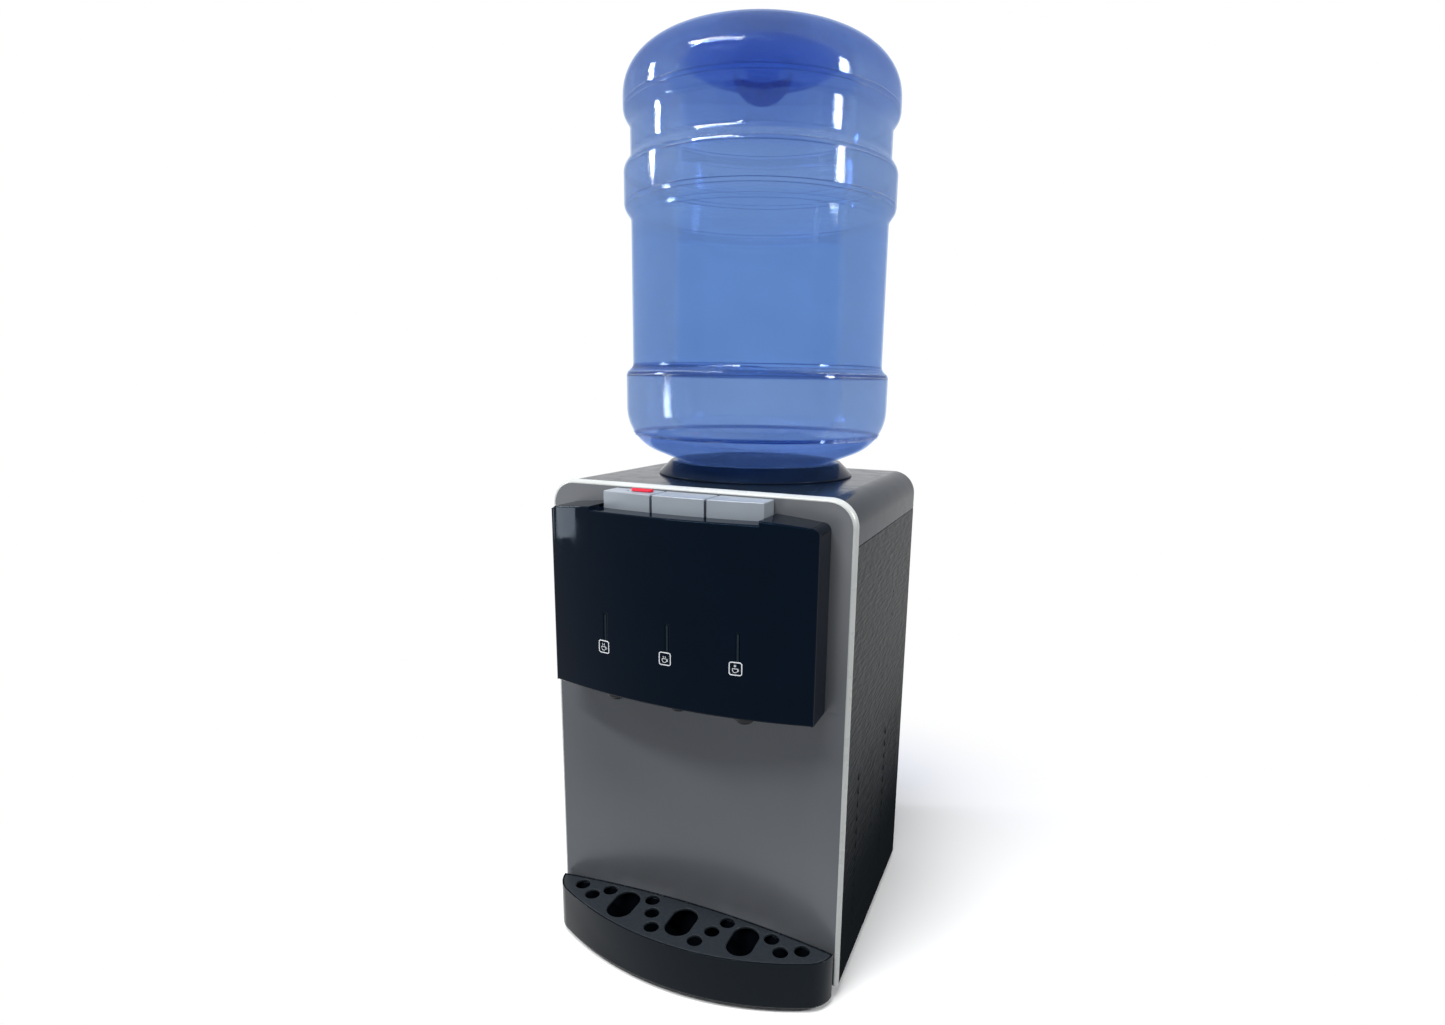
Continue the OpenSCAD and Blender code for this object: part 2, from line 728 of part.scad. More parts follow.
module side_panel() {
    translate([inner_hw, 0, 0]) difference() {
        union() {
            translate([0, panel_y0, foot_h]) cube([sheet_t, back_y - panel_y0, skirt_z - foot_h]);
            translate([-flange_w, base_y1 - sheet_t, base_top + base_flange_h + 2])
                cube([flange_w + cut / 2, sheet_t, skirt_z - base_top - base_flange_h - 2]);
            for (y = louvre_ys, i = [0:louvre_count - 1])
                translate([0, y, louvre_z0 + i * louvre_pitch])
                    rotate([-90, 0, 0]) linear_extrude(louvre_l)
                        polygon([[sheet_t / 2, 0], [sheet_t + louvre_out, 0],
                            [sheet_t + louvre_out, -louvre_gap / 2], [sheet_t, -louvre_rise],
                            [sheet_t / 2, -louvre_rise]]);
        }
        for (y = louvre_ys, i = [0:louvre_count - 1])
            translate([-cut, y + 1, louvre_z0 + i * louvre_pitch - cut])
                cube([sheet_t + cut, louvre_l - 2, louvre_gap + cut]);
        for (z = screw_zs)
            translate([-flange_w / 2, base_y1 - sheet_t - cut, z]) rotate([-90, 0, 0])
                cylinder(r = screw_r + fit_gap, h = sheet_t + 2 * cut);
        for (i = [0, 1])
            rod_x(0, front_y + pin_hole_y, pin_hole_z + i * pin_hole_pitch, pin_hole_r, 4 * cut);
    }
}
// Heights of the screws down each side of the back panel
screw_zs = [foot_h + 40, (foot_h + skirt_z) / 2, skirt_z - 24];

module right_side_panel() { color(black) side_panel(); }
module left_side_panel() { color(black) mirror([1, 0, 0]) side_panel(); }

module back_panel() {
    color(dark_grey) difference() {
        block(0, 2 * inner_hw, base_y1, back_y, foot_h, skirt_z);
        for (x = switch_xs)
            block(x, rocker_w + 3.4, base_y1 - cut, back_y + cut,
                fit_z - rocker_r - 3.2, fit_z + rocker_r + 3.2);
        rod_y(gland_x, fit_z, gland_r - 2, base_y1 - cut, back_y + cut);
        rod_y(drain_x, drain_z, drain_r + fit_gap, base_y1 - cut, back_y + cut);
        for (z = [cond_z0, cond_top])
            rod_y(cond_hw + 14, z, cond_r + 1, base_y1 - cut, back_y + cut);
        for (s = [-1, 1], z = screw_zs)
            rod_y(s * (inner_hw - flange_w / 2), z, screw_r + fit_gap, base_y1 - cut, back_y + cut);
        for (i = [0:9]) for (s = [-1, 1])
            block(s * 45, 60, base_y1 - cut, back_y + cut, 110 + i * 12, 114 + i * 12);
    }
}

foot_xs = [-(shell_hw - foot_inset), shell_hw - foot_inset];
foot_ys = [base_y0 + foot_inset, base_y1 - foot_inset];

module base_pan() {
    color(dark_grey) difference() {
        union() {
            block(0, 2 * inner_hw, base_y0, base_y1, foot_h, base_top);
            for (s = [-1, 1])
                block(s * (inner_hw - base_t / 2), base_t, base_y0, base_y1, foot_h,
                    base_top + base_flange_h);
        }
        for (x = foot_xs, y = foot_ys)
            translate([x, y, foot_h - cut]) cylinder(r = 3 + fit_gap, h = base_t + 2 * cut);
        for (i = [-2:2])
            block(i * 24 + 10, 8, front_y + 40, front_y + 90, foot_h - cut, base_top + cut);
    }
}

module feet() {
    color(dark_grey) for (x = foot_xs, y = foot_ys) translate([x, y, 0]) {
        cylinder(r1 = foot_r - 2, r2 = foot_r, h = foot_h);
        translate([0, 0, foot_h]) cylinder(r = 3, h = base_t);
        translate([0, 0, base_top]) cylinder(r1 = 5, r2 = 3, h = 4);
    }
}

// ---- Dispensing hood ----

module hood_block(inset, back = 0) {
    z0 = hood_z0 - inset;
    intersection() {
        translate([0, front_y, z0]) linear_extrude(hood_z1 - z0 + cut) mirror([0, 1])
            bowed(hood_hw - inset, hood_proj - inset, hood_r - inset, hood_edge_r - inset * 0.9,
                back);
        translate([0, 0, z0]) along_y(front_y - hood_proj - cut, front_y + back)
            bowed(hood_hw - inset, hood_z1 - inset - z0, crown_r - inset, hood_top_r - inset);
    }
}

// The front face of the hood, or of a shape set back from it, at a distance x from the middle
function bow_y(x, inset) = front_y - hood_proj + hood_r
    - sqrt(pow(hood_r - inset, 2) - pow(x, 2));

module dispensing_hood() {
    color(black) difference() {
        union() {
            difference() {
                hood_block(0);
                difference() {
                    hood_block(hood_wall, cut);
                    block(0, 2 * (notch_hw + hood_wall), front_y - hood_proj, front_y + 2 * cut,
                        notch_z - hood_wall, top_z);
                }
            }
            for (s = [-1, 1], h = boss_h)
                rod_y(s * boss_x, hood_z0 + h, boss_r, bow_y(boss_x, hood_wall / 2), front_y);
            for (s = [-1, 1])
                rod_y(s * tap_pitch / 2, lamp_z0 + lamp_h / 2, 3,
                    bow_y(tap_pitch / 2, hood_wall / 2), board_y);
        }
        block(0, 2 * notch_hw, front_y - hood_proj - cut, front_y + cut, notch_z, top_z);
        for (i = [-1:1])
            intersection() {
                block(i * btn_pitch, btn_w + 2 * slide_gap, front_y - hood_proj, front_y + cut,
                    notch_z - hood_wall - cut, notch_z + cut);
                button_bow(-slide_gap);
            }
        for (x = tap_xs)
            block(x, lamp_w, bow_y(x, -cut), bow_y(x, hood_wall + cut), lamp_z0, lamp_z0 + lamp_h);
        for (s = [-1, 1], h = boss_h)
            rod_y(s * boss_x, hood_z0 + h, screw_r - 0.1 + fit_gap, front_y - 14, front_y + cut);
    }
}

// Keeps a piece behind the arc that the buttons' fronts follow
module button_bow(inset) {
    translate([0, front_y - hood_proj + hood_r, 0])
        cylinder(r = hood_r - btn_ledge - inset, h = top_z, $fn = wide_fn);
}

module button(i) {
    x = i * btn_pitch;
    rear = front_y - slide_gap;
    difference() {
        union() {
            intersection() {
                block(x, btn_w, front_y - hood_proj, rear, btn_z0, btn_top);
                button_bow(0);
            }
            intersection() {
                block(x, btn_w + 2 * btn_collar, front_y - hood_proj, rear, btn_z0, collar_z);
                button_bow(-btn_collar);
            }
        }
        intersection() {
            block(x, btn_w - 2 * btn_wall, front_y - hood_proj, rear - btn_wall,
                btn_z0 - cut, ceiling_z);
            button_bow(btn_wall);
        }
    }
    push_rod(i * tap_pitch);
}

// The rod that carries a button's push down to its tap's lever, with a rounded end
module push_rod(x) {
    y = front_y - rod_proj;
    tip_z = pin_z + lever_t / 2 + slide_gap + rod_t / 2;
    block(x, rod_w, y - rod_t / 2, y + rod_t / 2, tip_z, ceiling_z + btn_wall / 2);
    rod_x(x, y, tip_z, rod_t / 2, rod_w);
}

lock_x0 = -btn_pitch + 10;
lock_neck_l = lock_l - 4;
lock_neck_w = 3.4;
lock_foot_t = 1.5;
lock_crown_r = 5.5;

module hot_button() {
    color(silver) difference() {
        button(-1);
        block(lock_x0 - lock_travel / 2, lock_neck_l + lock_travel + 2 * slide_gap,
            front_y - lock_proj - lock_neck_w / 2 - slide_gap,
            front_y - lock_proj + lock_neck_w / 2 + slide_gap, ceiling_z - cut, btn_top + cut);
    }
}
module ambient_button() { color(silver) button(0); }
module cold_button() { color(silver) button(1); }

module child_lock() {
    y = front_y - lock_proj;
    knob_z = btn_top + fit_gap;
    foot_z = ceiling_z - fit_gap;
    color([0.78, 0.07, 0.14]) {
        difference() {
            intersection() {
                union() {
                    block(lock_x0, lock_l - lock_w, y - lock_w / 2, y + lock_w / 2, knob_z,
                        knob_z + lock_h);
                    for (s = [-1, 1])
                        translate([lock_x0 + s * (lock_l - lock_w) / 2, y, knob_z])
                            cylinder(r = lock_w / 2, h = lock_h);
                }
                rod_x(lock_x0, y, knob_z + lock_h - lock_crown_r, lock_crown_r, lock_l);
            }
            for (i = [-3:3])
                block(lock_x0 + i * 2.6, 0.9, y - lock_w, y + lock_w, knob_z + lock_h - 0.8,
                    knob_z + lock_h + cut);
        }
        block(lock_x0, lock_neck_l, y - lock_neck_w / 2, y + lock_neck_w / 2, foot_z, knob_z);
        block(lock_x0, lock_neck_l, y - lock_w / 2 + 0.6, y + lock_w / 2 - 0.6,
            foot_z - lock_foot_t, foot_z);
    }
}

module linkage_guide() {
    reach = rod_proj + rod_t / 2 + 4;
    color(dark_grey) difference() {
        union() {
            block(0, 2 * (tap_pitch + guide_margin), front_y - reach, front_y, guide_z,
                guide_z + guide_t);
            block(0, 2 * (tap_pitch + guide_margin), front_y - 2, front_y, guide_z,
                guide_z + guide_h);
        }
        for (x = tap_xs)
            block(x, rod_w + 2 * slide_gap, front_y - rod_proj - rod_t / 2 - slide_gap,
                front_y - rod_proj + rod_t / 2 + slide_gap, guide_z - cut, guide_z + guide_h + cut);
    }
}

// ---- Taps ----

module tap_body(x) {
    difference() {
        union() {
            translate([x, spout_y, chamber_z0]) cylinder(r = chamber_r, h = gland_z1 - chamber_z0);
            translate([x, spout_y, spout_z0 + spout_slope])
                cylinder(r = spout_r, h = chamber_z0 - spout_z0 - spout_slope + 1);
            translate([x, spout_y, spout_z0])
                cylinder(r1 = spout_r - spout_slope, r2 = spout_r, h = spout_slope);
            rod_y(x, tap_z, inlet_r, spout_y, front_y + inlet_reach);
            rod_y(x, tap_z, inlet_r + 3, front_y - 3, front_y);
            for (s = [-1, 1])
                block(x + s * (ear_x + ear_t / 2), ear_t, pin_y - 3.5, pin_y + 3.5, tap_z,
                    pin_z + 3.5);
        }
        translate([x, spout_y, plunger_z0]) cylinder(r = chamber_r - 2, h = chamber_z1 - plunger_z0);
        translate([x, spout_y, spout_z0 - cut]) cylinder(r = spout_bore_r, h = chamber_z0);
        translate([x, spout_y, chamber_z1 - cut])
            cylinder(r = stem_r + pin_gap, h = gland_z1 - chamber_z1 + 2 * cut);
        rod_y(x, tap_z, inlet_bore_r, spout_y, front_y + inlet_reach + cut);
        rod_x(x, pin_y, pin_z, pin_r + pin_gap / 3, lever_w + 4 * ear_t);
    }
}
module hot_tap_body() { color(black) tap_body(tap_xs[0]); }
module ambient_tap_body() { color(black) tap_body(tap_xs[1]); }
module cold_tap_body() { color(black) tap_body(tap_xs[2]); }

module tap_lever(x) {
    prong_w = lever_w / 2 - stem_r - 0.8;
    fork_y = pin_y - lever_arm + stem_r + 3;
    difference() {
        union() {
            rod_x(x, pin_y, pin_z, pin_r + 1.6, lever_w);
            block(x, lever_w, fork_y, pin_y + lever_arm, pin_z - nose_r, pin_z + nose_r);
            rod_x(x, pin_y + lever_arm, pin_z, nose_r, lever_w);
            for (s = [-1, 1]) {
                block(x + s * (lever_w - prong_w) / 2, prong_w, pin_y - lever_arm, fork_y + 1,
                    pin_z - nose_r, pin_z + nose_r);
                rod_x(x + s * (lever_w - prong_w) / 2, pin_y - lever_arm, pin_z, nose_r, prong_w);
            }
        }
        rod_x(x, pin_y, pin_z, pin_r + pin_gap, lever_w + 2 * cut);
    }
}
module hot_tap_lever() { color(white) tap_lever(tap_xs[0]); }
module ambient_tap_lever() { color(white) tap_lever(tap_xs[1]); }
module cold_tap_lever() { color(white) tap_lever(tap_xs[2]); }

module valve_stem(x) {
    flange_z = pin_z + nose_r + slide_gap;
    translate([x, spout_y, 0]) {
        translate([0, 0, plunger_z0 + 0.1]) cylinder(r = plunger_r, h = plunger_h);
        translate([0, 0, plunger_z0 + 1]) cylinder(r = stem_r, h = flange_z - plunger_z0);
        translate([0, 0, flange_z]) cylinder(r = lever_w / 2, h = 2);
    }
}
module hot_valve_stem() { color(white) valve_stem(tap_xs[0]); }
module ambient_valve_stem() { color(white) valve_stem(tap_xs[1]); }
module cold_valve_stem() { color(white) valve_stem(tap_xs[2]); }

module valve_spring(x) {
    h = spring_z1 - spring_z0 - 2 * spring_wire_r;
    steps = 14 * spring_turns;
    path = [for (i = [0:steps]) [x + spring_r * cos(360 * spring_turns * i / steps),
        spout_y + spring_r * sin(360 * spring_turns * i / steps),
        spring_z0 + spring_wire_r + h * i / steps]];
    sweep(path, spring_wire_r, 6);
}
module hot_valve_spring() { color(steel) valve_spring(tap_xs[0]); }
module ambient_valve_spring() { color(steel) valve_spring(tap_xs[1]); }
module cold_valve_spring() { color(steel) valve_spring(tap_xs[2]); }

module lever_pins() {
    color(steel) for (x = tap_xs) rod_x(x, pin_y, pin_z, pin_r, lever_w + 2 * ear_t + 1);
}

module tap_nuts() {
    y = front_y + fascia_wall;
    color(white) for (x = tap_xs) difference() {
        translate([x, y + nut_t, tap_z]) rotate([90, 0, 0]) cylinder(r = inlet_r + 4, h = nut_t, $fn = 6);
        rod_y(x, tap_z, inlet_r + 0.1, y - cut, y + nut_t + cut);
    }
}

// ---- Indicators ----

module lamp_board() {
    color([0.08, 0.30, 0.16]) {
        block(0, 2 * tap_pitch + 24, board_y, board_y + board_t, lamp_z0 - 2, lamp_z0 + lamp_h + 2);
        for (x = tap_xs)
            block(x, 3, board_y - led_d, board_y, lamp_z0 + lamp_h / 2 - 2, lamp_z0 + lamp_h / 2 + 2);
    }
}

module lamp_lenses() {
    inset = 0.4;
    color([0.75, 0.80, 0.85]) for (x = tap_xs)
        block(x, lamp_w - 0.2, bow_y(x, inset), board_y - led_d, lamp_z0 + 0.1,
            lamp_z0 + lamp_h - 0.1);
}

// ---- Drip tray ----

module tray_outline(inset) {
    intersection() {
        translate([0, front_y]) mirror([0, 1])
            bowed(tray_hw - inset, tray_proj - inset, tray_r - inset, tray_end_r - inset, 20);
        translate([0, recess_y]) circle(tray_back_r - inset, $fn = wide_fn);
    }
}

module drip_tray() {
    shelf_z = tray_top - rest_gap - grille_t - 0.2;
    color(black) {
        difference() {
            translate([0, 0, tray_lift]) linear_extrude(tray_top - tray_lift) tray_outline(0);
            translate([0, 0, tray_lift + tray_wall]) linear_extrude(tray_top)
                tray_outline(tray_rim + tray_shelf);
            translate([0, 0, shelf_z]) linear_extrude(tray_top) tray_outline(tray_rim);
        }
        for (s = [-1, 1])
            intersection() {
                block(s * tongue_x, tongue_w, front_y - 6, front_y + tongue_l, tongue_z,
                    tongue_z + tongue_t);
                difference() {
                    block(0, cab_w, front_y - 20, front_y + 40, tongue_z, tongue_z + tongue_t);
                    translate([0, recess_y, 0])
                        cylinder(r = tray_back_r - 1, h = tray_top, $fn = wide_fn);
                }
            }
    }
}

module drip_grille() {
    z = tray_top - 0.2 - grille_t;
    color(dark_grey) difference() {
        translate([0, 0, z]) linear_extrude(grille_t) tray_outline(tray_rim + slide_gap);
        for (p = hole_pairs, s = [-1, 1])
            translate([s * p[0], front_y - p[1], z - cut]) cylinder(r = hole_r, h = grille_t + 2 * cut);
        for (x = tap_xs) {
            for (s = [-1, 1])
                translate([x, front_y - slot_proj + s * slot_half, z - cut])
                    cylinder(r = slot_r, h = grille_t + 2 * cut);
            block(x, 2 * slot_r, front_y - slot_proj - slot_half, front_y - slot_proj + slot_half,
                z - cut, z + grille_t + cut);
        }
    }
}

// ---- Bottle seat ----

module bottle_seat() {
    band_z = rest_at(rest_inner_r);
    t = seat_wall;
    upper = [[collar_r, -cover_step], [collar_r, 1], [collar_rim_r + 1.2, collar_rim_h - 0.8],
        [collar_rim_r - 0.4, collar_rim_h], [rest_r + 2.5, collar_rim_h], [rest_r, rest_h],
        [rest_inner_r, band_z], [well_r + 6, band_z - 22], [well_r, band_z - 32],
        [well_r, -well_depth], [probe_r + fit_gap, -well_depth]];
    lower = [[probe_r + fit_gap, -well_depth - t], [well_r + t, -well_depth - t],
        [well_r + t, band_z - 33], [well_r + 6 + t, band_z - 23.5],
        [rest_inner_r + 1, band_z - t - 0.6], [rest_r + 2, rest_h - t - 1],
        [spigot_r - t, collar_rim_h - t - 2], [spigot_r - t, -spigot_h], [spigot_r, -spigot_h],
        [spigot_r, -cover_step]];
    color(black) translate([0, seat_y, top_z]) rotate_extrude() polygon(concat(upper, lower));
}

module feed_probe() {
    port_r = 3;
    color(white) translate([0, seat_y, well_floor]) difference() {
        union() {
            translate([0, 0, -seat_wall - 10]) cylinder(r = probe_r, h = probe_h - 6 + seat_wall + 10);
            translate([0, 0, probe_h - 6]) cylinder(r1 = probe_r, r2 = 4, h = 6);
            translate([0, 0, -seat_wall - 3 - fit_gap]) cylinder(r = probe_r + 4, h = 3);
        }
        translate([0, 0, -seat_wall - 10 - cut]) cylinder(r = probe_r - 2.5, h = probe_h + seat_wall);
        for (a = [0, 90, 180, 270]) rotate([0, 0, a]) translate([0, 0, probe_h - 16])
            rotate([90, 0, 0]) cylinder(r = port_r, h = probe_r + cut);
    }
}

module tank_seal() {
    color(white) translate([0, seat_y, tank_z1]) difference() {
        cylinder(r = tank_mouth_r + seal_w, h = seal_h);
        translate([0, 0, -cut]) cylinder(r = tank_mouth_r - fit_gap / 2, h = seal_h + 2 * cut);
    }
}

// ---- Bottle ----

function band(i, up) = let (z = band_edges[i], h = band_edge_h[i] / 2)
    step_pts(z - h, z + h, up ? waist_r : bottle_r, up ? bottle_r : waist_r, 8);
// Rounds the bottle's upper end a little fuller than an ellipse, as far as the rim
function fuller(x) = pow(x, 0.91);
crown_a = 66;
crown_z = bottle_h - 1 - crown_h;
function crown_pts(n) = [for (i = [0:n]) let (a = crown_a * i / n)
    [bottle_r - crown_w * (1 - fuller(cos(a))) / (1 - fuller(cos(crown_a))),
        crown_z + crown_h * fuller(sin(a) / sin(crown_a))]];
rim_r = bottle_r - crown_w - 3.5;
dish_r = dome_r + 32;
dish_h = bottle_h - dish_depth;
dome_z = dish_h - 3;
dome_h = dome_z - bottle_h + dome_depth;
fillet_h = shoulder_at(neck_r + neck_fillet);
body_line = concat(
    [[neck_r, 0], [neck_r, 5], [bead_r, 6], [bead_r, 9], [neck_r, 10]],
    [for (i = [0:5]) let (a = 15 * i * (90 - shoulder_slope) / 75)
        [neck_r + neck_fillet * (1 - cos(a)), fillet_h - neck_fillet * 1.1 + neck_fillet * sin(a)]],
    [[shoulder_end_r - 4, shoulder_at(shoulder_end_r - 4)]],
    arc_pts(shoulder_cr, shoulder_h, shoulder_r, shoulder_slope - 90, 0, 12),
    band(0, false), band(1, true), band(2, false), band(3, true), crown_pts(12),
    [for (i = [0:8]) let (t = i / 8)
        [rim_r + (dish_r - rim_r) * t, bottle_h - dish_depth * (1 - cos(180 * t)) / 2]],
    [[dome_r + 5, dish_h], [dome_r + 1.5, dish_h - 1]],
    [for (i = [0:7]) let (a = 12 * i + 6) [dome_r * cos(a), dome_z - dome_h * sin(a)]]);

module bottle() {
    color([0.25, 0.45, 0.90, 0.4]) translate([0, seat_y, bottle_z0]) rotate_extrude() difference() {
        polygon(concat(body_line, reversed(beside(body_line, bottle_wall))));
        translate([shoulder_cr, shoulder_h]) rotate(-mould_line_a) translate([shoulder_r, 0])
            circle(r = mould_line_d, $fn = 4);
    }
}

module bottle_cap() {
    inner_r = bead_r + fit_gap;
    color(white) translate([0, seat_y, bottle_z0 - cap_wall - 0.2]) difference() {
        cylinder(r = inner_r + cap_wall, h = cap_h);
        translate([0, 0, cap_wall]) cylinder(r = inner_r, h = cap_h);
        translate([0, 0, -cut]) cylinder(r = cap_bore_r, h = cap_wall + 2 * cut);
    }
}

// ---- Cold tank ----

module cold_tank() {
    w = tank_wall;
    color(steel) translate([0, seat_y, 0]) difference() {
        union() {
            translate([0, 0, tank_z0]) cylinder(r = tank_r, h = tank_h);
            for (p = [cold_stub, link_stub])
                translate([p[0], p[1], stub_z]) cylinder(r = stub_r, h = tank_z0 - stub_z + w / 2);
            translate([0, -tank_r + 1, side_stub_z]) rotate([90, 0, 0])
                cylinder(r = stub_r, h = foam_r - tank_r + 5);
        }
        translate([0, 0, tank_z0 + w]) cylinder(r = tank_r - w, h = tank_h - 2 * w);
        translate([0, 0, tank_z1 - 2 * w]) cylinder(r = tank_mouth_r, h = 4 * w);
        for (p = [cold_stub, link_stub])
            translate([p[0], p[1], stub_z - cut]) cylinder(r = stub_r - w, h = tank_z0 - stub_z + 3);
        translate([0, -tank_r + 4, side_stub_z]) rotate([90, 0, 0])
            cylinder(r = stub_r - w, h = foam_r);
    }
}

module evaporator_coil() {
    z0 = tank_z0 + evap_r + 4;
    pitch = 2 * evap_r + 7;
    steps = 40 * evap_turns;
    path = [for (i = [0:steps]) let (a = 100 + 360 * evap_turns * i / steps)
        [evap_path_r * cos(a), seat_y + evap_path_r * sin(a), z0 + pitch * evap_turns * i / steps]];
    color(copper) sweep(path, evap_r, 8);
}

module tank_foam() {
    color(white) translate([0, seat_y, 0]) difference() {
        translate([0, 0, foam_z0]) cylinder(r = foam_r, h = foam_z1 - foam_z0);
        translate([0, 0, tank_z0]) cylinder(r = foam_bore_r, h = tank_h);
        for (p = [cold_stub, link_stub])
            translate([p[0], p[1], foam_z0 - cut]) cylinder(r = stub_r + fit_gap, h = foam_base + 2 * cut);
        translate([0, 0, side_stub_z]) rotate([90, 0, 0])
            cylinder(r = stub_r + fit_gap, h = foam_r + cut);
    }
}

module water_baffle() {
    r = tank_r - tank_wall - fit_gap;
    color(white) translate([link_stub[0], seat_y + link_stub[1], 0]) difference() {
        union() {
            translate([-link_stub[0], -link_stub[1], baffle_z]) cylinder(r = r, h = 3);
            translate([0, 0, tank_z0 + tank_wall]) cylinder(r = stub_r + 2, h = baffle_z - tank_z0);
        }
        translate([0, 0, tank_z0]) cylinder(r = stub_r, h = tank_h);
        translate([-link_stub[0] + 20, -link_stub[1], baffle_z - cut]) cylinder(r = 8, h = 5);
    }
}

module tank_shelf() {
    color(steel) difference() {
        union() {
            block(0, 2 * inner_hw, shelf_y0, base_y1 - sheet_t, shelf_z0, shelf_z1);
            for (s = [-1, 1])
                block(s * (inner_hw - sheet_t), 2 * sheet_t, shelf_y0, base_y1 - sheet_t,
                    shelf_z0 - shelf_flange_h, shelf_z0 + sheet_t);
        }
        for (p = [cold_stub, link_stub]) translate([p[0], seat_y + p[1], shelf_z0 - cut])
            cylinder(r = stub_r + 1, h = 2 * sheet_t + 2 * cut);
        for (x = refrigerant_xs) translate([x, base_y1 - 13, shelf_z0 - cut])
            cylinder(r = cond_r + 2, h = 2 * sheet_t + 2 * cut);
    }
}

// ---- Hot tank ----

module hot_tank() {
    w = tank_wall;
    dome = 8;
    color(steel) translate([hot_cx, hot_cy, hot_z0]) {
        difference() {
            union() {
                translate([0, 0, dome]) cylinder(r = hot_r, h = hot_h - 2 * dome);
                cylinder(r1 = hot_r - dome, r2 = hot_r, h = dome);
                translate([0, 0, hot_h - dome]) cylinder(r1 = hot_r, r2 = hot_r - dome, h = dome);
            }
            translate([0, 0, dome]) cylinder(r = hot_r - w, h = hot_h - 2 * dome);
            translate([0, 0, w]) cylinder(r1 = hot_r - dome - w, r2 = hot_r - w, h = dome - w);
            translate([0, 0, hot_h - dome])
                cylinder(r1 = hot_r - w, r2 = hot_r - dome - w, h = dome - w);
        }
        for (y = [hot_feed_dy, drain_dy])
            translate([0, y, -hot_stub_l]) cylinder(r = stub_r, h = hot_stub_l);
        translate([0, 0, hot_h]) cylinder(r = stub_r, h = hot_stub_l / 2);
    }
}

module band_heater() {
    color([0.62, 0.56, 0.44]) translate([hot_cx, hot_cy, heater_z]) difference() {
        union() {
            cylinder(r = hot_r + fit_gap / 3 + heater_t, h = heater_h);
            block(0, 8, -hot_r - 9, -hot_r, heater_h / 2 - 10, heater_h / 2 + 10);
        }
        translate([0, 0, -cut]) cylinder(r = hot_r + fit_gap / 3, h = heater_h + 2 * cut);
        block(0, 2, -hot_r - 10, -hot_r + cut, -cut, heater_h + cut);
    }
}

module hot_thermostats() {
    for (z = [heater_z + heater_h + 12, heater_z + heater_h + 34])
        color(black) translate([hot_cx + hot_r + 0.2, hot_cy, z]) rotate([0, 90, 0]) {
            cylinder(r = 8, h = 6);
            for (s = [-1, 1]) translate([s * 3, 0, 6]) cylinder(r = 1, h = 5);
        }
}

module hot_tank_bracket() {
    arm = 14;
    ring_z = hot_z0 - 1.5;
    color(steel) {
        difference() {
            translate([hot_cx, hot_cy, ring_z]) cylinder(r = hot_r - 8, h = 1.5);
            translate([hot_cx, hot_cy, ring_z - cut]) cylinder(r = hot_r - 18, h = 4);
        }
        for (s = [-1, 1])
            block(hot_cx + s * (hot_r - 13), 3, hot_cy - arm, hot_cy + arm, base_top, ring_z + 0.5);
        for (s = [-1, 1])
            block(hot_cx + s * (hot_r - 7), 15, hot_cy - arm, hot_cy + arm, base_top, base_top + 2);
    }
}

// ---- Cooling unit ----

module compressor() {
    round_r = 22;
    foot_t = 3;
    half = comp_h - 2 * round_r;
    profile = concat([[0, 0]], arc_pts(comp_r - round_r, round_r, round_r, -90, 0, 8),
        arc_pts(comp_r - round_r, round_r + half, round_r, 0, 90, 8), [[0, comp_h]]);
    color(black) translate([comp_x, comp_cy, comp_z0]) difference() {
        union() {
            translate([0, 0, foot_t - 0.5]) rotate_extrude() polygon(profile);
            block(0, comp_foot_l, -comp_foot_w / 2, comp_foot_w / 2, 0, foot_t);
            block(0, 34, -comp_r - 14, -comp_r + 14, 30, 74);
            translate([0, 0, comp_h / 2 + foot_t]) cylinder(r = comp_r + 1.2, h = 5);
        }
        for (x = [-bolt_x, bolt_x], y = [-bolt_y, bolt_y])
            translate([x, y, -cut]) cylinder(r = 5 + fit_gap, h = foot_t + 2 * cut);
    }
}

module compressor_mounts() {
    color(dark_grey) for (x = [-bolt_x, bolt_x], y = [-bolt_y, bolt_y])
        translate([comp_x + x, comp_cy + y, base_top]) {
            cylinder(r = 9, h = mount_h);
            translate([0, 0, mount_h]) cylinder(r = 5, h = 4);
        }
}

module condenser_coil() {
    color(black) {
        for (i = [0:cond_runs - 1])
            rod_x(0, cond_y, cond_z0 + i * cond_pitch, cond_r, 2 * cond_hw);
        for (i = [0:cond_runs - 2])
            translate([(i % 2 == 0 ? -1 : 1) * cond_hw, cond_y, cond_z0 + (i + 0.5) * cond_pitch])
                rotate([90, 0, 0]) rotate([0, 0, i % 2 == 0 ? 90 : -90])
                    rotate_extrude(angle = 180) translate([cond_pitch / 2, 0]) circle(cond_r);
    }
}

module condenser_wires() {
    off = cond_r + wire_r + 0.1;
    color(black) for (s = [-1, 1], i = [0:wire_count - 1])
        translate([-cond_hw + 6 + i * wire_step, cond_y + s * off, cond_z0 - 8])
            cylinder(r = wire_r, h = cond_top - cond_z0 + 16);
}

module condenser_brackets() {
    z_rows = [cond_z0 + cond_pitch, cond_top - cond_pitch];
    tip = cond_y + cond_r + 2;
    x = cond_hw - 1.5;
    color(dark_grey) for (s = [-1, 1], z = z_rows) difference() {
        union() {
            block(s * x, 2, back_y, tip, z - 7, z + 7);
            block(s * (x - 5), 12, back_y, back_y + 2, z - 7, z + 7);
        }
        rod_x(s * x, cond_y, z, cond_r + 0.15, 6);
    }
}

refrigerant_xs = [inner_hw - 31.2, inner_hw - 17.2];
cond_mid = (cond_z0 + cond_top) / 2;
comp_top = comp_z0 + comp_h;
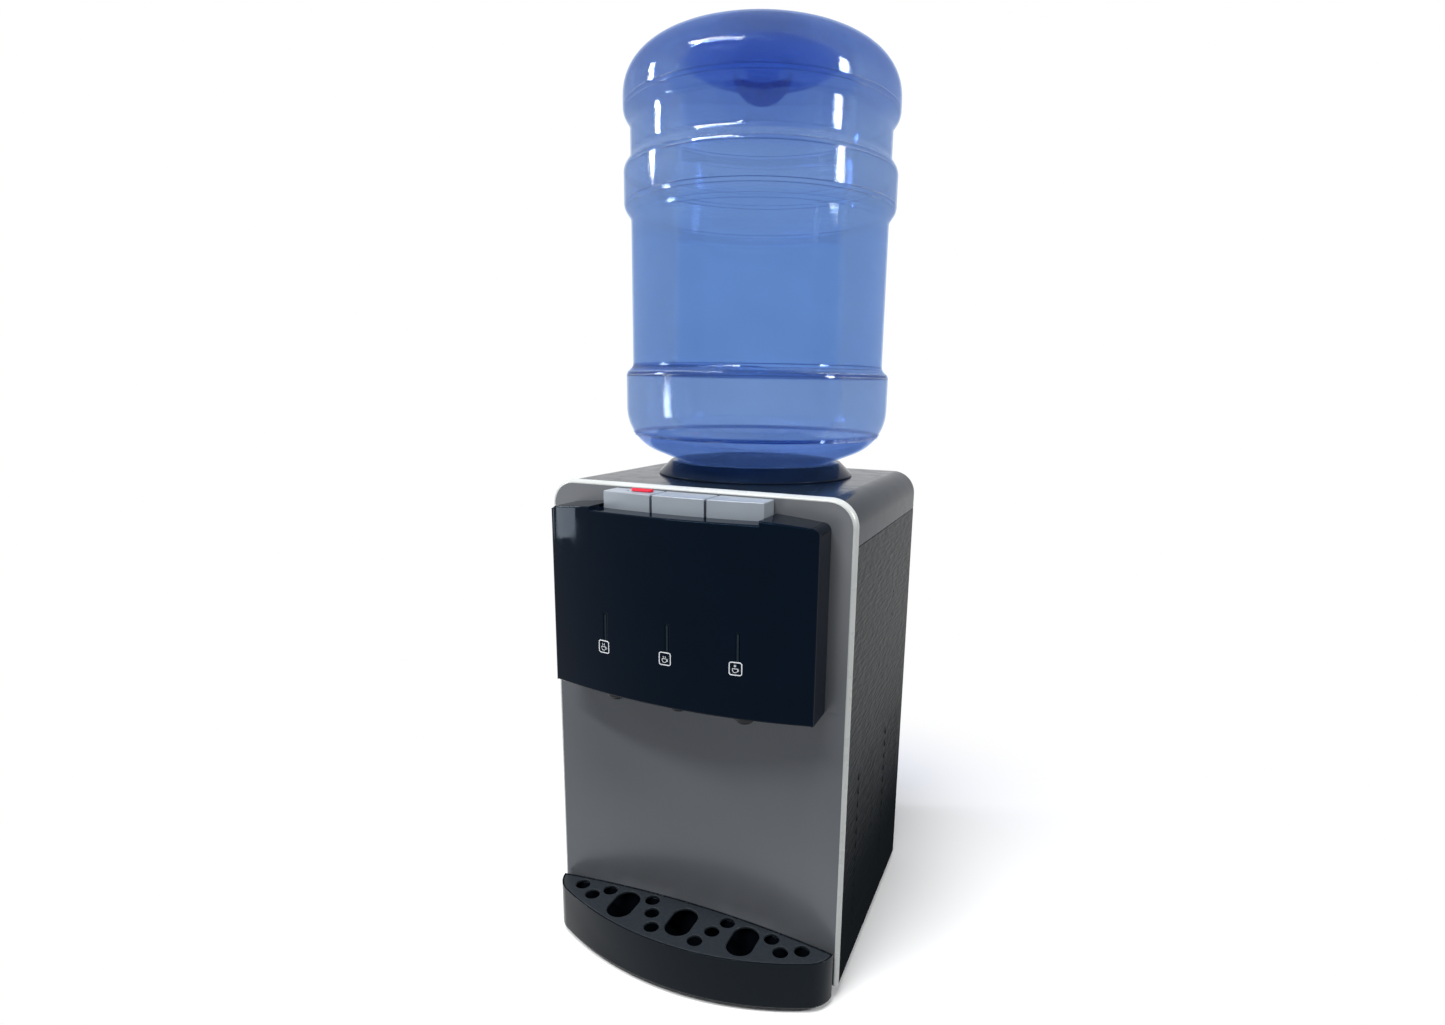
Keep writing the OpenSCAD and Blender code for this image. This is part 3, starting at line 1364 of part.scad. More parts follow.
// Routes of the discharge, liquid and suction lines
discharge_route = [[comp_x + 29, comp_cy + 32.9, comp_top - 3.5],
    [comp_x + 38, comp_cy + 50, comp_top + 18], [refrigerant_xs[0], base_y1 - 14, cond_z0 + 58],
    [refrigerant_xs[0], base_y1 - 13, cond_mid], [refrigerant_xs[0], base_y1 - 13, cond_top - 22],
    [cond_hw + 17, base_y1 - 11, cond_top - 4], [cond_hw + 14, base_y1, cond_top],
    [cond_hw + 14, cond_y - 12, cond_top], [cond_hw + 10, cond_y - 2, cond_top],
    [cond_hw + 1, cond_y, cond_top]];
liquid_route = [[cond_hw + 1, cond_y, cond_z0], [cond_hw + 10, cond_y - 2, cond_z0],
    [cond_hw + 14, cond_y - 12, cond_z0], [cond_hw + 14, base_y1, cond_z0],
    [cond_hw + 18, base_y1 - 12, cond_z0 + 6], [refrigerant_xs[1], base_y1 - 13, cond_z0 + 40],
    [refrigerant_xs[1], base_y1 - 13, cond_mid], [refrigerant_xs[1], base_y1 - 13, foam_z1 - 40],
    [refrigerant_xs[1] - 12, base_y1 - 13, foam_z1 - 4], [90, seat_y + 55, foam_z1 + 12],
    [55, seat_y + 48, foam_z1 + 10]];
suction_route = [[comp_x + 2, comp_cy + 34, comp_top + 3], [comp_x, comp_cy + 36, comp_top + 23],
    [comp_x + 16, comp_cy + 52, comp_top + 48], [comp_x + 30, base_y1 - 16, comp_top + 78],
    [comp_x + 30, base_y1 - 12, shelf_z0 - 10], [comp_x + 30, base_y1 - 12, shelf_z0 - 0.5]];

module refrigerant_tubes() {
    color(copper) {
        sweep(curve(discharge_route, 5), cond_r, 8);
        sweep(curve(liquid_route, 5), cond_r, 8);
        sweep(curve(suction_route, 5), evap_r, 8);
    }
}

// ---- Water hoses ----

inlet_y = front_y + inlet_reach;
hose_y = inlet_y + 18;
// A hose's first, straight piece off an upright connection, going up or down
function off_stub(x, y, z, d) = [for (h = [0.4, 2.5, 5]) [x, y, z + d * h]];
hot_route = concat(off_stub(hot_cx, hot_cy, hot_z1 + hot_stub_l / 2, 1), [[hot_cx, hot_cy - 12, hot_z1 + 12],
    [hot_cx, shelf_y0 + 10, hot_z1 + 9], [tap_xs[0] - 8, hose_y, hot_z1 + 22],
    [tap_xs[0], hose_y, tap_z - 20], [tap_xs[0], inlet_y + 10, tap_z - 2],
    [tap_xs[0], inlet_y + 0.2, tap_z]]);
cold_route = concat(off_stub(cold_stub[0], seat_y + cold_stub[1], stub_z, -1),
    [[cold_stub[0] + 2, seat_y + cold_stub[1] - 8, stub_z - 15],
    [cold_stub[0] + 8, shelf_y0 + 8, stub_z - 16], [tap_xs[2], hose_y, stub_z + 6],
    [tap_xs[2], hose_y, tap_z - 20], [tap_xs[2], inlet_y + 10, tap_z - 2],
    [tap_xs[2], inlet_y + 0.2, tap_z]]);
ambient_route = [[0, seat_y - foam_r - 4.2, side_stub_z], [0, hose_y + 4, side_stub_z - 4],
    [0, hose_y, side_stub_z - 20], [0, hose_y, tap_z + 20], [0, inlet_y + 10, tap_z + 2],
    [0, inlet_y + 0.2, tap_z]];
link_route = concat(off_stub(link_stub[0], seat_y + link_stub[1], stub_z, -1),
    [[link_stub[0], seat_y + link_stub[1], stub_z - 20], [link_stub[0] + 3, seat_y + 4, hot_z1 - 45],
    [link_stub[0] + 3, seat_y - 4, hot_z0 + 10], [link_stub[0] - 8, hot_cy - 24, hot_z0 - 24],
    [hot_cx + 14, hot_cy + hot_feed_dy - 2, hot_z0 - 32]],
    reversed(off_stub(hot_cx, hot_cy + hot_feed_dy, hot_z0 - hot_stub_l, -1)));
drain_route = concat(off_stub(hot_cx, hot_cy + drain_dy, hot_z0 - hot_stub_l, -1),
    [[hot_cx, hot_cy + drain_dy + 2, hot_z0 - 26], [hot_cx, hot_cy + drain_dy + 16, drain_z + 6],
    [hot_cx, base_y1 - 34, drain_z], [drain_x, base_y1 - 10.4, drain_z]]);

module water_hoses() {
    color([0.85, 0.85, 0.80])
        for (route = [hot_route, cold_route, ambient_route, link_route, drain_route])
            sweep(curve(route, 5), hose_r, 10);
}

// ---- Rear fittings ----

module drain_spout() {
    color(black) difference() {
        union() {
            rod_y(drain_x, drain_z, drain_r, base_y1 - 4, back_y + drain_l);
            rod_y(drain_x, drain_z, drain_r + 4, base_y1 - 4, base_y1 - 1);
            rod_y(drain_x, drain_z, stub_r, base_y1 - 10, base_y1 - 3);
        }
        rod_y(drain_x, drain_z, drain_r - 3, base_y1 - 1, back_y + drain_l + cut);
        rod_y(drain_x, drain_z, stub_r - 1.5, base_y1 - 10 - cut, base_y1);
    }
}

module drain_cap() {
    y0 = back_y + fit_gap;
    y1 = back_y + drain_l + 3;
    color(black) difference() {
        rod_y(drain_x, drain_z, drain_r + 3, y0, y1);
        rod_y(drain_x, drain_z, drain_r + fit_gap, y0 - cut, back_y + drain_l + fit_gap);
        for (a = [0:30:330]) translate([drain_x, y1 + cut, drain_z]) rotate([90, a, 0])
            translate([drain_r + 3.6, 0, 0]) cylinder(r = 1.2, h = y1 - y0 - 2);
    }
}

module cord_gland() {
    color(black) difference() {
        union() {
            rod_y(gland_x, fit_z, gland_r, back_y, back_y + 3);
            rod_y(gland_x, fit_z, gland_r - 2 - fit_gap / 2, base_y1 - 3, back_y + 3);
            rod_y(gland_x, fit_z, gland_r - 0.5, base_y1 - 3, base_y1);
        }
        rod_y(gland_x, fit_z, gland_bore_r, base_y1 - 3 - cut, back_y + 3 + cut);
    }
}

module switch_housings() {
    hw = rocker_w / 2 + 1.4;
    hh = rocker_r + 2.9;
    cavity_h = rocker_r + slide_gap;
    color(black) for (x = switch_xs) difference() {
        union() {
            block(x, 2 * hw + 4, back_y, back_y + 2, fit_z - hh - 2, fit_z + hh + 2);
            block(x, 2 * hw, back_y - 13, back_y + 1, fit_z - hh, fit_z + hh);
        }
        block(x, rocker_w + 2 * slide_gap, rocker_y - 7, back_y + 2 + cut, fit_z - cavity_h,
            fit_z + cavity_h);
        rod_x(x, rocker_y, fit_z, 1.2 + pin_gap, rocker_w + 2.4);
    }
}

module rocker(x) {
    tilt = rocker_swing / 2;
    face = 4;
    lift = face + rocker_r * tan(tilt);
    translate([x, rocker_y, fit_z]) rotate([-tilt, 0, 0]) {
        rotate([90, 0, 90]) translate([0, 0, -rocker_w / 2]) linear_extrude(rocker_w)
            intersection() {
                circle(rocker_r);
                polygon([[-3, -rocker_r], [lift, -rocker_r], [face, 0], [lift, rocker_r],
                    [-3, rocker_r]]);
            }
        rod_x(0, 0, 0, 1.2, rocker_w + 2);
    }
}
module heat_rocker() { color([0.75, 0.08, 0.08]) rocker(switch_xs[0]); }
module cool_rocker() { color([0.10, 0.45, 0.20]) rocker(switch_xs[1]); }

module cabinet_screws() {
    color(steel) {
        for (s = [-1, 1], z = screw_zs)
            translate([s * (inner_hw - flange_w / 2), back_y, z]) rotate([-90, 0, 0]) screw(6);
        for (s = [-1, 1], h = boss_h)
            translate([s * boss_x, front_y + fascia_wall, hood_z0 + h]) rotate([-90, 0, 0])
                screw(fascia_wall + 10);
    }
}

front_fascia();
top_cover();
left_side_panel();
right_side_panel();
back_panel();
base_pan();
feet();
dispensing_hood();
linkage_guide();
hot_button();
ambient_button();
cold_button();
child_lock();
hot_tap_body();
ambient_tap_body();
cold_tap_body();
hot_tap_lever();
ambient_tap_lever();
cold_tap_lever();
hot_valve_stem();
ambient_valve_stem();
cold_valve_stem();
hot_valve_spring();
ambient_valve_spring();
cold_valve_spring();
lever_pins();
tap_nuts();
lamp_board();
lamp_lenses();
drip_tray();
drip_grille();
bottle_seat();
feed_probe();
tank_seal();
cold_tank();
tank_foam();
evaporator_coil();
water_baffle();
tank_shelf();
hot_tank();
band_heater();
hot_thermostats();
hot_tank_bracket();
compressor();
compressor_mounts();
condenser_coil();
condenser_wires();
condenser_brackets();
refrigerant_tubes();
water_hoses();
drain_spout();
drain_cap();
cord_gland();
switch_housings();
heat_rocker();
cool_rocker();
bottle();
bottle_cap();
cabinet_screws();
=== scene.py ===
"""Countertop water dispenser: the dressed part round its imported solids, with a studio and a camera."""

import json
import math

import bmesh
import bpy
from mathutils import Matrix, Vector

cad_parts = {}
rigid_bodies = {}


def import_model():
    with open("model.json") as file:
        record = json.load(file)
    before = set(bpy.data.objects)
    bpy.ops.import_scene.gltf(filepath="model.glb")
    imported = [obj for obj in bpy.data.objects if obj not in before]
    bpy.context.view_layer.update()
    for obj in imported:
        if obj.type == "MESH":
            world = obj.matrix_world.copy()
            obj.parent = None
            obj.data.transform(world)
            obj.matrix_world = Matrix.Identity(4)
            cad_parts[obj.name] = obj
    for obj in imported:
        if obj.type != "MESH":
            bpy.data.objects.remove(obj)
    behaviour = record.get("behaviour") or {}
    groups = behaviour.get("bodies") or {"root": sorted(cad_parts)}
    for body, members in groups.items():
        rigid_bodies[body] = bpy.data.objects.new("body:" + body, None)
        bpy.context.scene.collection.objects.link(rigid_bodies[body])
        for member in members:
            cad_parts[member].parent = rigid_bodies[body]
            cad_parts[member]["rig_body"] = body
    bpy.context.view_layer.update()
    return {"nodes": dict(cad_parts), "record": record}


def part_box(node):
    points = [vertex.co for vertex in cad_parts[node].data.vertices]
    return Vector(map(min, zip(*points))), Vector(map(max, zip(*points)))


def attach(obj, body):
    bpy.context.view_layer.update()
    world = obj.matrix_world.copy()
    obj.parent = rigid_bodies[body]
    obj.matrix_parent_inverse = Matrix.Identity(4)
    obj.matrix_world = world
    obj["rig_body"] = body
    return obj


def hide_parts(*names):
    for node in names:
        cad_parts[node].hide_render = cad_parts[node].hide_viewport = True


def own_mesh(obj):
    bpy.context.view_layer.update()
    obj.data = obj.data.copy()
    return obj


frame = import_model()
NODES = frame["nodes"]
SLOT_OF = {s["node"]: s["material_slot"] for s in frame["record"]["subparts"]}

MM = 0.001


def lo(node):
    """The low corner of a solid's box."""
    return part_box(node)[0]


def hi(node):
    """The high corner of a solid's box."""
    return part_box(node)[1]


# ---- Places read from the solids ----
FRONT_Y = lo("front_fascia").y
FASCIA_HALF = hi("front_fascia").x
FASCIA_LOW = lo("front_fascia").z
TOP_Z = hi("front_fascia").z
SEAT_Y = (lo("bottle_seat").y + hi("bottle_seat").y) / 2
BOTTLE_Z = lo("bottle").z
HOOD_Y = lo("dispensing_hood").y
HOOD_HALF = hi("dispensing_hood").x
BUTTON_TOP = hi("cold_button").z
TRAY_LOW = lo("drip_tray").z

# ---- Sizes of the solids that their boxes don't show ----
HOOD_BOW = 17 * MM
HOOD_R = (HOOD_HALF ** 2 + HOOD_BOW ** 2) / (2 * HOOD_BOW)
FASCIA_R = 25 * MM
# The bottle's bands are more than this above its mouth and outside this radius
BAND_FROM = 95 * MM
BAND_R = 118 * MM
# The bottle's dished base is more than this above its mouth and inside this radius
BASE_FROM = 425 * MM
BASE_R = 90 * MM

# ---- Sizes of the dressing ----
# Edges over these angles, in degrees, are shaded crisp: on bare solids and signs, and on dressed solids
SHARP = 32.0
DRESSED_SHARP = 40.0
RIM_WIDTH = 3.6 * MM
RIM_DEPTH = 6.5 * MM

# ---- Sizes of the printed signs ----
SIGN_Z = TOP_Z - 147.2 * MM
SIGN_XS = {"hot": -68.3 * MM, "ambient": -1.9 * MM, "cold": 65 * MM}
SIGN_HALF = 5.6 * MM
SIGN_TALL = 1.02 * SIGN_HALF
SIGN_R = 1.8 * MM
CUP_R = 2.3 * MM
STEAM_HEIGHTS = {"hot": 2.4 * MM, "ambient": 1.3 * MM}
STAR_R = 1.2 * MM
PROUD = 0.25 * MM
SUNK = 0.1 * MM
FRAME_LINE = 0.85 * MM
CUP_LINE = 0.42 * MM
STEAM_LINE = 0.40 * MM
STAR_LINE = 0.35 * MM


# ---- Shader helpers ----
def new_material(name):
    mat = bpy.data.materials.new(name)
    mat.use_nodes = True
    nodes, links = mat.node_tree.nodes, mat.node_tree.links
    return mat, nodes, links, nodes["Principled BSDF"]


def operate(nodes, links, kind, operation, *values):
    """A node of a kind, ShaderNodeMath or ShaderNodeVectorMath, fed with sockets, numbers or tuples."""
    node = nodes.new(kind)
    node.operation = operation
    for socket, value in zip(node.inputs, values):
        if isinstance(value, bpy.types.NodeSocket):
            links.new(value, socket)
        else:
            socket.default_value = value
    return node


def object_place(nodes):
    """The place of the shaded point in its object's own metres."""
    return nodes.new("ShaderNodeTexCoord").outputs["Object"]


def noise(nodes, links, scale, detail, stretch=None):
    """A noise in the object's own metres. A small factor in stretch draws it out along that axis."""
    place = object_place(nodes)
    if stretch:
        mapping = nodes.new("ShaderNodeMapping")
        mapping.inputs["Scale"].default_value = stretch
        links.new(place, mapping.inputs["Vector"])
        place = mapping.outputs["Vector"]
    texture = nodes.new("ShaderNodeTexNoise")
    texture.inputs["Scale"].default_value = scale
    texture.inputs["Detail"].default_value = detail
    links.new(place, texture.inputs["Vector"])
    return texture.outputs["Fac"]


def ramp(nodes, links, source, low, high):
    """Spreads the middle of a noise from low to high, which are both greys or both colours."""
    node = nodes.new("ShaderNodeValToRGB")
    elements = node.color_ramp.elements
    for element, position, value in ((elements[0], 0.35, low), (elements[1], 0.65, high)):
        element.position = position
        element.color = (value, value, value, 1) if isinstance(value, float) else (*value, 1)
    links.new(source, node.inputs["Fac"])
    return node.outputs["Color"]


def grow(nodes, links, value, start, end, most=1.0, easing="SMOOTHERSTEP"):
    """A number that grows with a value, from none at start to the most at end."""
    node = nodes.new("ShaderNodeMapRange")
    node.interpolation_type = easing
    node.inputs["From Min"].default_value = start
    node.inputs["From Max"].default_value = end
    node.inputs["To Max"].default_value = most
    links.new(value, node.inputs["Value"])
    return node.outputs["Result"]


def relief(nodes, links, shader, sizes, detail, under=None, stretch=None):
    """A bump from a noise. The sizes are the noise's scale, the bump's strength and its height in metres."""
    scale, strength, height = sizes
    bump = nodes.new("ShaderNodeBump")
    bump.inputs["Strength"].default_value = strength
    bump.inputs["Distance"].default_value = height
    links.new(noise(nodes, links, scale, detail, stretch), bump.inputs["Height"])
    if under:
        links.new(under, bump.inputs["Normal"])
    links.new(bump.outputs["Normal"], shader.inputs["Normal"])
    return bump.outputs["Normal"]


def mixed(nodes, links, share, first, second):
    """A shader that is first where the share is 0 and second where it is 1."""
    node = nodes.new("ShaderNodeMixShader")
    for socket, value in zip(node.inputs, (share, first, second)):
        links.new(value, socket)
    return node.outputs[0]


def tinted(color, factor):
    return tuple(min(1.0, c * factor) for c in color)


# ---- Materials ----
def surface(name, color, rough, vary=0.06, rough_vary=0.05, scale=25.0, metallic=0.0, grain=None,
            wave=None, specular=0.5, gleam=None, coat=0.0, coat_rough=0.05, stretch=None,
            grain_stretch=None):
    """A moulded or painted surface: slight colour and gloss changes, a fine grain and a long wave. The grain
    and the wave have the sizes of a relief, and gleam is the colour of the sheen."""
    mat, nodes, links, bsdf = new_material(name)
    bsdf.inputs["Metallic"].default_value = metallic
    bsdf.inputs["Specular IOR Level"].default_value = specular
    if gleam:
        bsdf.inputs["Specular Tint"].default_value = (*gleam, 1)
    bsdf.inputs["Coat Weight"].default_value = coat
    bsdf.inputs["Coat Roughness"].default_value = coat_rough
    tone = noise(nodes, links, scale, 4.0, stretch)
    links.new(ramp(nodes, links, tone, tinted(color, 1 - vary), tinted(color, 1 + vary)),
              bsdf.inputs["Base Color"])
    gloss = noise(nodes, links, scale * 2.3, 2.0, stretch)
    links.new(ramp(nodes, links, gloss, max(0.02, rough - rough_vary), min(1.0, rough + rough_vary)),
              bsdf.inputs["Roughness"])
    normal = relief(nodes, links, bsdf, wave, 1.0) if wave else None
    if grain:
        relief(nodes, links, bsdf, grain, 2.0, normal, grain_stretch)
    return mat


MATS = {
    "fascia": surface("fascia_paint", (0.122, 0.130, 0.143), 0.30, vary=0.03, rough_vary=0.01, scale=6.0,
                      metallic=0.30, grain=(2600.0, 0.10, 0.0001), specular=0.25, coat=0.08,
                      coat_rough=0.12),
    # The rim's light grey is partly a lighter silver and partly a painted highlight, the light that its edge
    # catches.
    "rim": surface("rim_silver_and_painted_highlight", (0.46, 0.48, 0.47), 0.30, vary=0.03, metallic=0.1,
                   grain=(2600.0, 0.10, 0.0001), specular=0.10),
    "button": surface("button_paint", (0.275, 0.308, 0.350), 0.36, vary=0.04, metallic=0.25,
                      grain=(2400.0, 0.12, 0.0001), specular=0.30),
    "cover": surface("cover_gloss", (0.008, 0.0135, 0.0225), 0.14, grain=(900.0, 0.05, 0.0002),
                     wave=(45.0, 0.05, 0.001), specular=0.045, gleam=(0.6, 0.8, 1.0)),
    "panel": surface("panel_coat", (0.0125, 0.0150, 0.0170), 0.34, vary=0.03, rough_vary=0.01, scale=60.0,
                     grain=(260.0, 0.9, 0.0014), specular=0.012, grain_stretch=(1.0, 0.22, 1.0)),
    "rear_panel": surface("rear_steel", (0.22, 0.225, 0.23), 0.45, metallic=0.7, grain=(500.0, 0.1, 0.0003)),
    "hood": surface("hood_gloss", (0.0012, 0.0036, 0.0090), 0.06, rough_vary=0.03,
                    wave=(14.0, 0.05, 0.002), specular=0.10, gleam=(0.30, 0.50, 0.75)),
    "child_lock": surface("lock_red", (0.60, 0.012, 0.035), 0.33, grain=(1500.0, 0.1, 0.0001),
                          specular=0.35),
    "tap": surface("tap_black", (0.010, 0.012, 0.015), 0.30, grain=(1500.0, 0.15, 0.0002), specular=0.3),
    "inner_plastic": surface("natural_plastic", (0.72, 0.72, 0.68), 0.45, grain=(1200.0, 0.1, 0.0002)),
    "silicone": surface("silicone", (0.74, 0.74, 0.69), 0.42, grain=(700.0, 0.1, 0.0002)),
    "steel": surface("steel", (0.55, 0.56, 0.57), 0.32, metallic=1.0, stretch=(1.0, 1.0, 14.0)),
    "lens": surface("lens", (0.011, 0.019, 0.028), 0.12, specular=0.08),
    "board": surface("board", (0.03, 0.16, 0.07), 0.4),
    "tray": surface("tray_black", (0.0028, 0.0040, 0.0062), 0.10, grain=(900.0, 0.05, 0.0002),
                    wave=(22.0, 0.05, 0.001), specular=0.10, gleam=(0.6, 0.8, 1.0)),
    "grille": surface("grille_grey", (0.015, 0.019, 0.024), 0.42, vary=0.12, scale=320.0,
                      grain=(1400.0, 0.25, 0.0002), specular=0.20),
    "rubber": surface("rubber", (0.02, 0.02, 0.021), 0.75, grain=(900.0, 0.3, 0.0003)),
    "foam": surface("foam", (0.72, 0.66, 0.50), 0.85, grain=(350.0, 0.6, 0.001)),
    "copper": surface("copper", (0.75, 0.36, 0.20), 0.28, metallic=1.0, vary=0.14),
    "black_metal": surface("black_metal", (0.014, 0.014, 0.016), 0.34, grain=(700.0, 0.15, 0.0003)),
    "cap": surface("cap_white", (0.70, 0.74, 0.80), 0.35, grain=(900.0, 0.1, 0.0002)),
    "heater": surface("heater_band", (0.50, 0.45, 0.36), 0.42, metallic=0.9),
    "red_rocker": surface("rocker_red", (0.55, 0.02, 0.03), 0.3, grain=(1500.0, 0.1, 0.0002)),
    "green_rocker": surface("rocker_green", (0.03, 0.28, 0.08), 0.3, grain=(1500.0, 0.1, 0.0002)),
    "print": surface("white_print", (0.72, 0.75, 0.78), 0.45, grain=(1800.0, 0.1, 0.0001)),
}


def painted_sheen_by_height(mat, start, end, most):
    """Paints a sheen that grows with the height instead of being the same all over: painted shade low down, a
    painted highlight high up.
    """
    nodes, links = mat.node_tree.nodes, mat.node_tree.links
    parts = nodes.new("ShaderNodeSeparateXYZ")
    links.new(object_place(nodes), parts.inputs[0])
    sheen = grow(nodes, links, parts.outputs["Z"], start, end, most)
    links.new(sheen, nodes["Principled BSDF"].inputs["Specular IOR Level"])


# Painted sheen: the side panels get darker towards the floor, and the fascia lighter towards its top.
painted_sheen_by_height(MATS["panel"], start=70 * MM, end=TOP_Z + 20 * MM, most=0.034)
painted_sheen_by_height(MATS["fascia"], start=230 * MM, end=TOP_Z - 20 * MM, most=1.0)


def blend(nodes, links, value, stops, reach):
    """A colour that follows a value through stops of (value, colour), counted in mm, up to reach."""
    share = operate(nodes, links, "ShaderNodeMath", "MULTIPLY", value, 1 / (reach * MM))
    node = nodes.new("ShaderNodeValToRGB")
    node.color_ramp.interpolation = "EASE"
    elements = node.color_ramp.elements
    while len(elements) < len(stops):
        elements.new(0.5)
    for element, (at, color) in zip(elements, stops):
        element.position = at / reach
        element.color = (*color, 1)
    links.new(share.outputs[0], node.inputs["Fac"])
    return node.outputs["Color"]


def bottle_material(name, measure, stops, reach):
    """Clear blue plastic with a blow-mould grain. Its tint follows the height above the bottle's mouth, or
    the distance from its axis. Most of it is plain see-through, and lamps shine through it with its tint."""
    mat, nodes, links, bsdf = new_material(name)
    bsdf.inputs["Transmission Weight"].default_value = 1.0
    bsdf.inputs["Roughness"].default_value = 0.0
    bsdf.inputs["IOR"].default_value = 1.50
    vector = "ShaderNodeVectorMath"
    centred = operate(nodes, links, vector, "SUBTRACT", object_place(nodes), (0, SEAT_Y, BOTTLE_Z))
    if measure == "height":
        parts = nodes.new("ShaderNodeSeparateXYZ")
        links.new(centred.outputs[0], parts.inputs[0])
        value = parts.outputs["Z"]
    else:
        flat = operate(nodes, links, vector, "MULTIPLY", centred.outputs[0], (1, 1, 0))
        value = operate(nodes, links, vector, "LENGTH", flat.outputs[0]).outputs["Value"]
    mix = nodes.new("ShaderNodeMix")
    mix.data_type, mix.blend_type = "RGBA", "MULTIPLY"
    mix.inputs["Factor"].default_value = 1.0
    # This node's colours go into its sockets 6 and 7 and come out of its socket 2
    links.new(blend(nodes, links, value, stops, reach), mix.inputs[6])
    links.new(ramp(nodes, links, noise(nodes, links, 12.0, 3.0), 0.95, 1.0), mix.inputs[7])
    tint = mix.outputs[2]
    links.new(tint, bsdf.inputs["Base Color"])
    wave = relief(nodes, links, bsdf, (45.0, 0.06, 0.0010), 1.0)
    relief(nodes, links, bsdf, (420.0, 0.14, 0.0006), 2.0, wave)
    # A wall has two faces, so each of them has the root of the tint
    one_face = nodes.new("ShaderNodeGamma")
    one_face.inputs["Gamma"].default_value = 0.5
    links.new(tint, one_face.inputs["Color"])
    see_through = nodes.new("ShaderNodeBsdfTransparent")
    links.new(one_face.outputs[0], see_through.inputs["Color"])
    shadow = nodes.new("ShaderNodeLightPath").outputs["Is Shadow Ray"]
    plain = operate(nodes, links, "ShaderNodeMath", "MAXIMUM", shadow, 0.76)
    links.new(mixed(nodes, links, plain.outputs[0], bsdf.outputs[0], see_through.outputs[0]),
              nodes["Material Output"].inputs["Surface"])
    return mat


BLUE = (0.390, 0.520, 0.755)
WAIST_BLUE = (0.335, 0.490, 0.765)
SHOULDER_BLUE = (0.37, 0.51, 0.82)
CROWN_BLUE = (0.235, 0.36, 0.67)
BASE_BLUE = (0.050, 0.140, 0.560)
MATS["bottle"] = bottle_material("bottle_blue", "height", [
    (60, SHOULDER_BLUE), (105, SHOULDER_BLUE), (112, BLUE), (165, BLUE), (178, WAIST_BLUE),
    (316, WAIST_BLUE), (334, BLUE), (418, BLUE), (456, CROWN_BLUE)], 480)
MATS["bottle_base"] = bottle_material("bottle_base_blue", "distance", [
    (0, BASE_BLUE), (58, BASE_BLUE), (92, CROWN_BLUE)], 100)

# The bare solids have the same materials as the dressed ones
for node_name, obj in NODES.items():
    obj.data.materials.clear()
    obj.data.materials.append(MATS[SLOT_OF[node_name]])
    for poly in obj.data.polygons:
        poly.material_index = 0
        poly.use_smooth = True
    obj.data.set_sharp_from_angle(angle=math.radians(SHARP))


# ---- Mesh helpers ----
def mesh_object(name, bm, mat):
    me = bpy.data.meshes.new(name)
    bm.to_mesh(me)
    bm.free()
    me.materials.append(mat)
    obj = bpy.data.objects.new(name, me)
    bpy.context.scene.collection.objects.link(obj)
    return obj


def piece(name, bm, body, mat, sharp=SHARP):
    """A visible piece that moves with a body."""
    bmesh.ops.recalc_face_normals(bm, faces=bm.faces)
    obj = mesh_object(name, bm, mat)
    for poly in obj.data.polygons:
        poly.use_smooth = True
    obj.data.set_sharp_from_angle(angle=math.radians(sharp))
    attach(obj, body)
    return obj


def dress(node, edge=0.4 * MM, steps=2, wide=None, pick=None, sharp=SHARP):
    """Stands for a solid: the same mesh, joined up and with its edges rounded off to catch the light. Of
    the edges over the angle sharp, those that pick chooses are rounded by the size wide, the rest by edge."""
    bm = bmesh.new()
    bm.from_mesh(NODES[node].data)
    bmesh.ops.remove_doubles(bm, verts=bm.verts, dist=0.003 * MM)
    bmesh.ops.dissolve_limit(bm, angle_limit=math.radians(0.05), verts=bm.verts, edges=bm.edges)

    def round_off(chosen, size, segments):
        edges = [e for e in bm.edges if len(e.link_faces) == 2
                 and e.calc_face_angle(0) > math.radians(sharp) and chosen(e)]
        bmesh.ops.bevel(bm, geom=edges, offset=size, offset_type="OFFSET", segments=segments,
                        profile=0.5, affect="EDGES", clamp_overlap=False)

    if wide:
        round_off(pick, wide, 3)
    if edge:
        round_off(lambda e: True, edge, steps)
    slot_name = SLOT_OF[node]
    obj = piece(node + "_dressed", bm, NODES[node]["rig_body"], MATS[slot_name], DRESSED_SHARP)
    even = obj.modifiers.new("even", "WEIGHTED_NORMAL")
    even.keep_sharp = True
    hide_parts(node)
    return obj


def repaint(obj, mat, chosen):
    """Gives a second material to the faces whose middle is chosen."""
    obj.data.materials.append(mat)
    for poly in obj.data.polygons:
        if chosen(poly.center):
            poly.material_index = 1


def hood_face(x, out=0.0):
    """The y of the hood's bowed front at a distance x from its middle, or of a place out in front of it."""
    return HOOD_Y + HOOD_R - math.sqrt(HOOD_R ** 2 - x * x) - out


def from_bottle_axis(place):
    return math.hypot(place.x, place.y - SEAT_Y)


# ---- Edges and faces that are treated apart ----
def on_hood_front(e):
    return all(abs(v.co.y - hood_face(v.co.x)) < 0.15 * MM for v in e.verts)


def on_button_top(e):
    return all(v.co.z > BUTTON_TOP - 0.1 * MM for v in e.verts)


def under_tray(e):
    return all(v.co.z < TRAY_LOW + 0.1 * MM for v in e.verts)


def on_bottle_band(e):
    return all(v.co.z > BOTTLE_Z + BAND_FROM and from_bottle_axis(v.co) > BAND_R for v in e.verts)


def on_bottle_base(c):
    return from_bottle_axis(c) < BASE_R and c.z > BOTTLE_Z + BASE_FROM


def on_fascia_rim(c):
    """True along the fascia's sides, top, foot and round corners, where it is near the front."""
    beside = (abs(c.x) > FASCIA_HALF - RIM_WIDTH or c.z > TOP_Z - RIM_WIDTH
              or c.z < FASCIA_LOW + RIM_WIDTH)
    corner = Vector((abs(c.x) - (FASCIA_HALF - FASCIA_R), c.z - (TOP_Z - FASCIA_R)))
    round_corner = corner.x > 0 and corner.y > 0 and corner.length > FASCIA_R - RIM_WIDTH
    return (beside or round_corner) and c.y < FRONT_Y + RIM_DEPTH
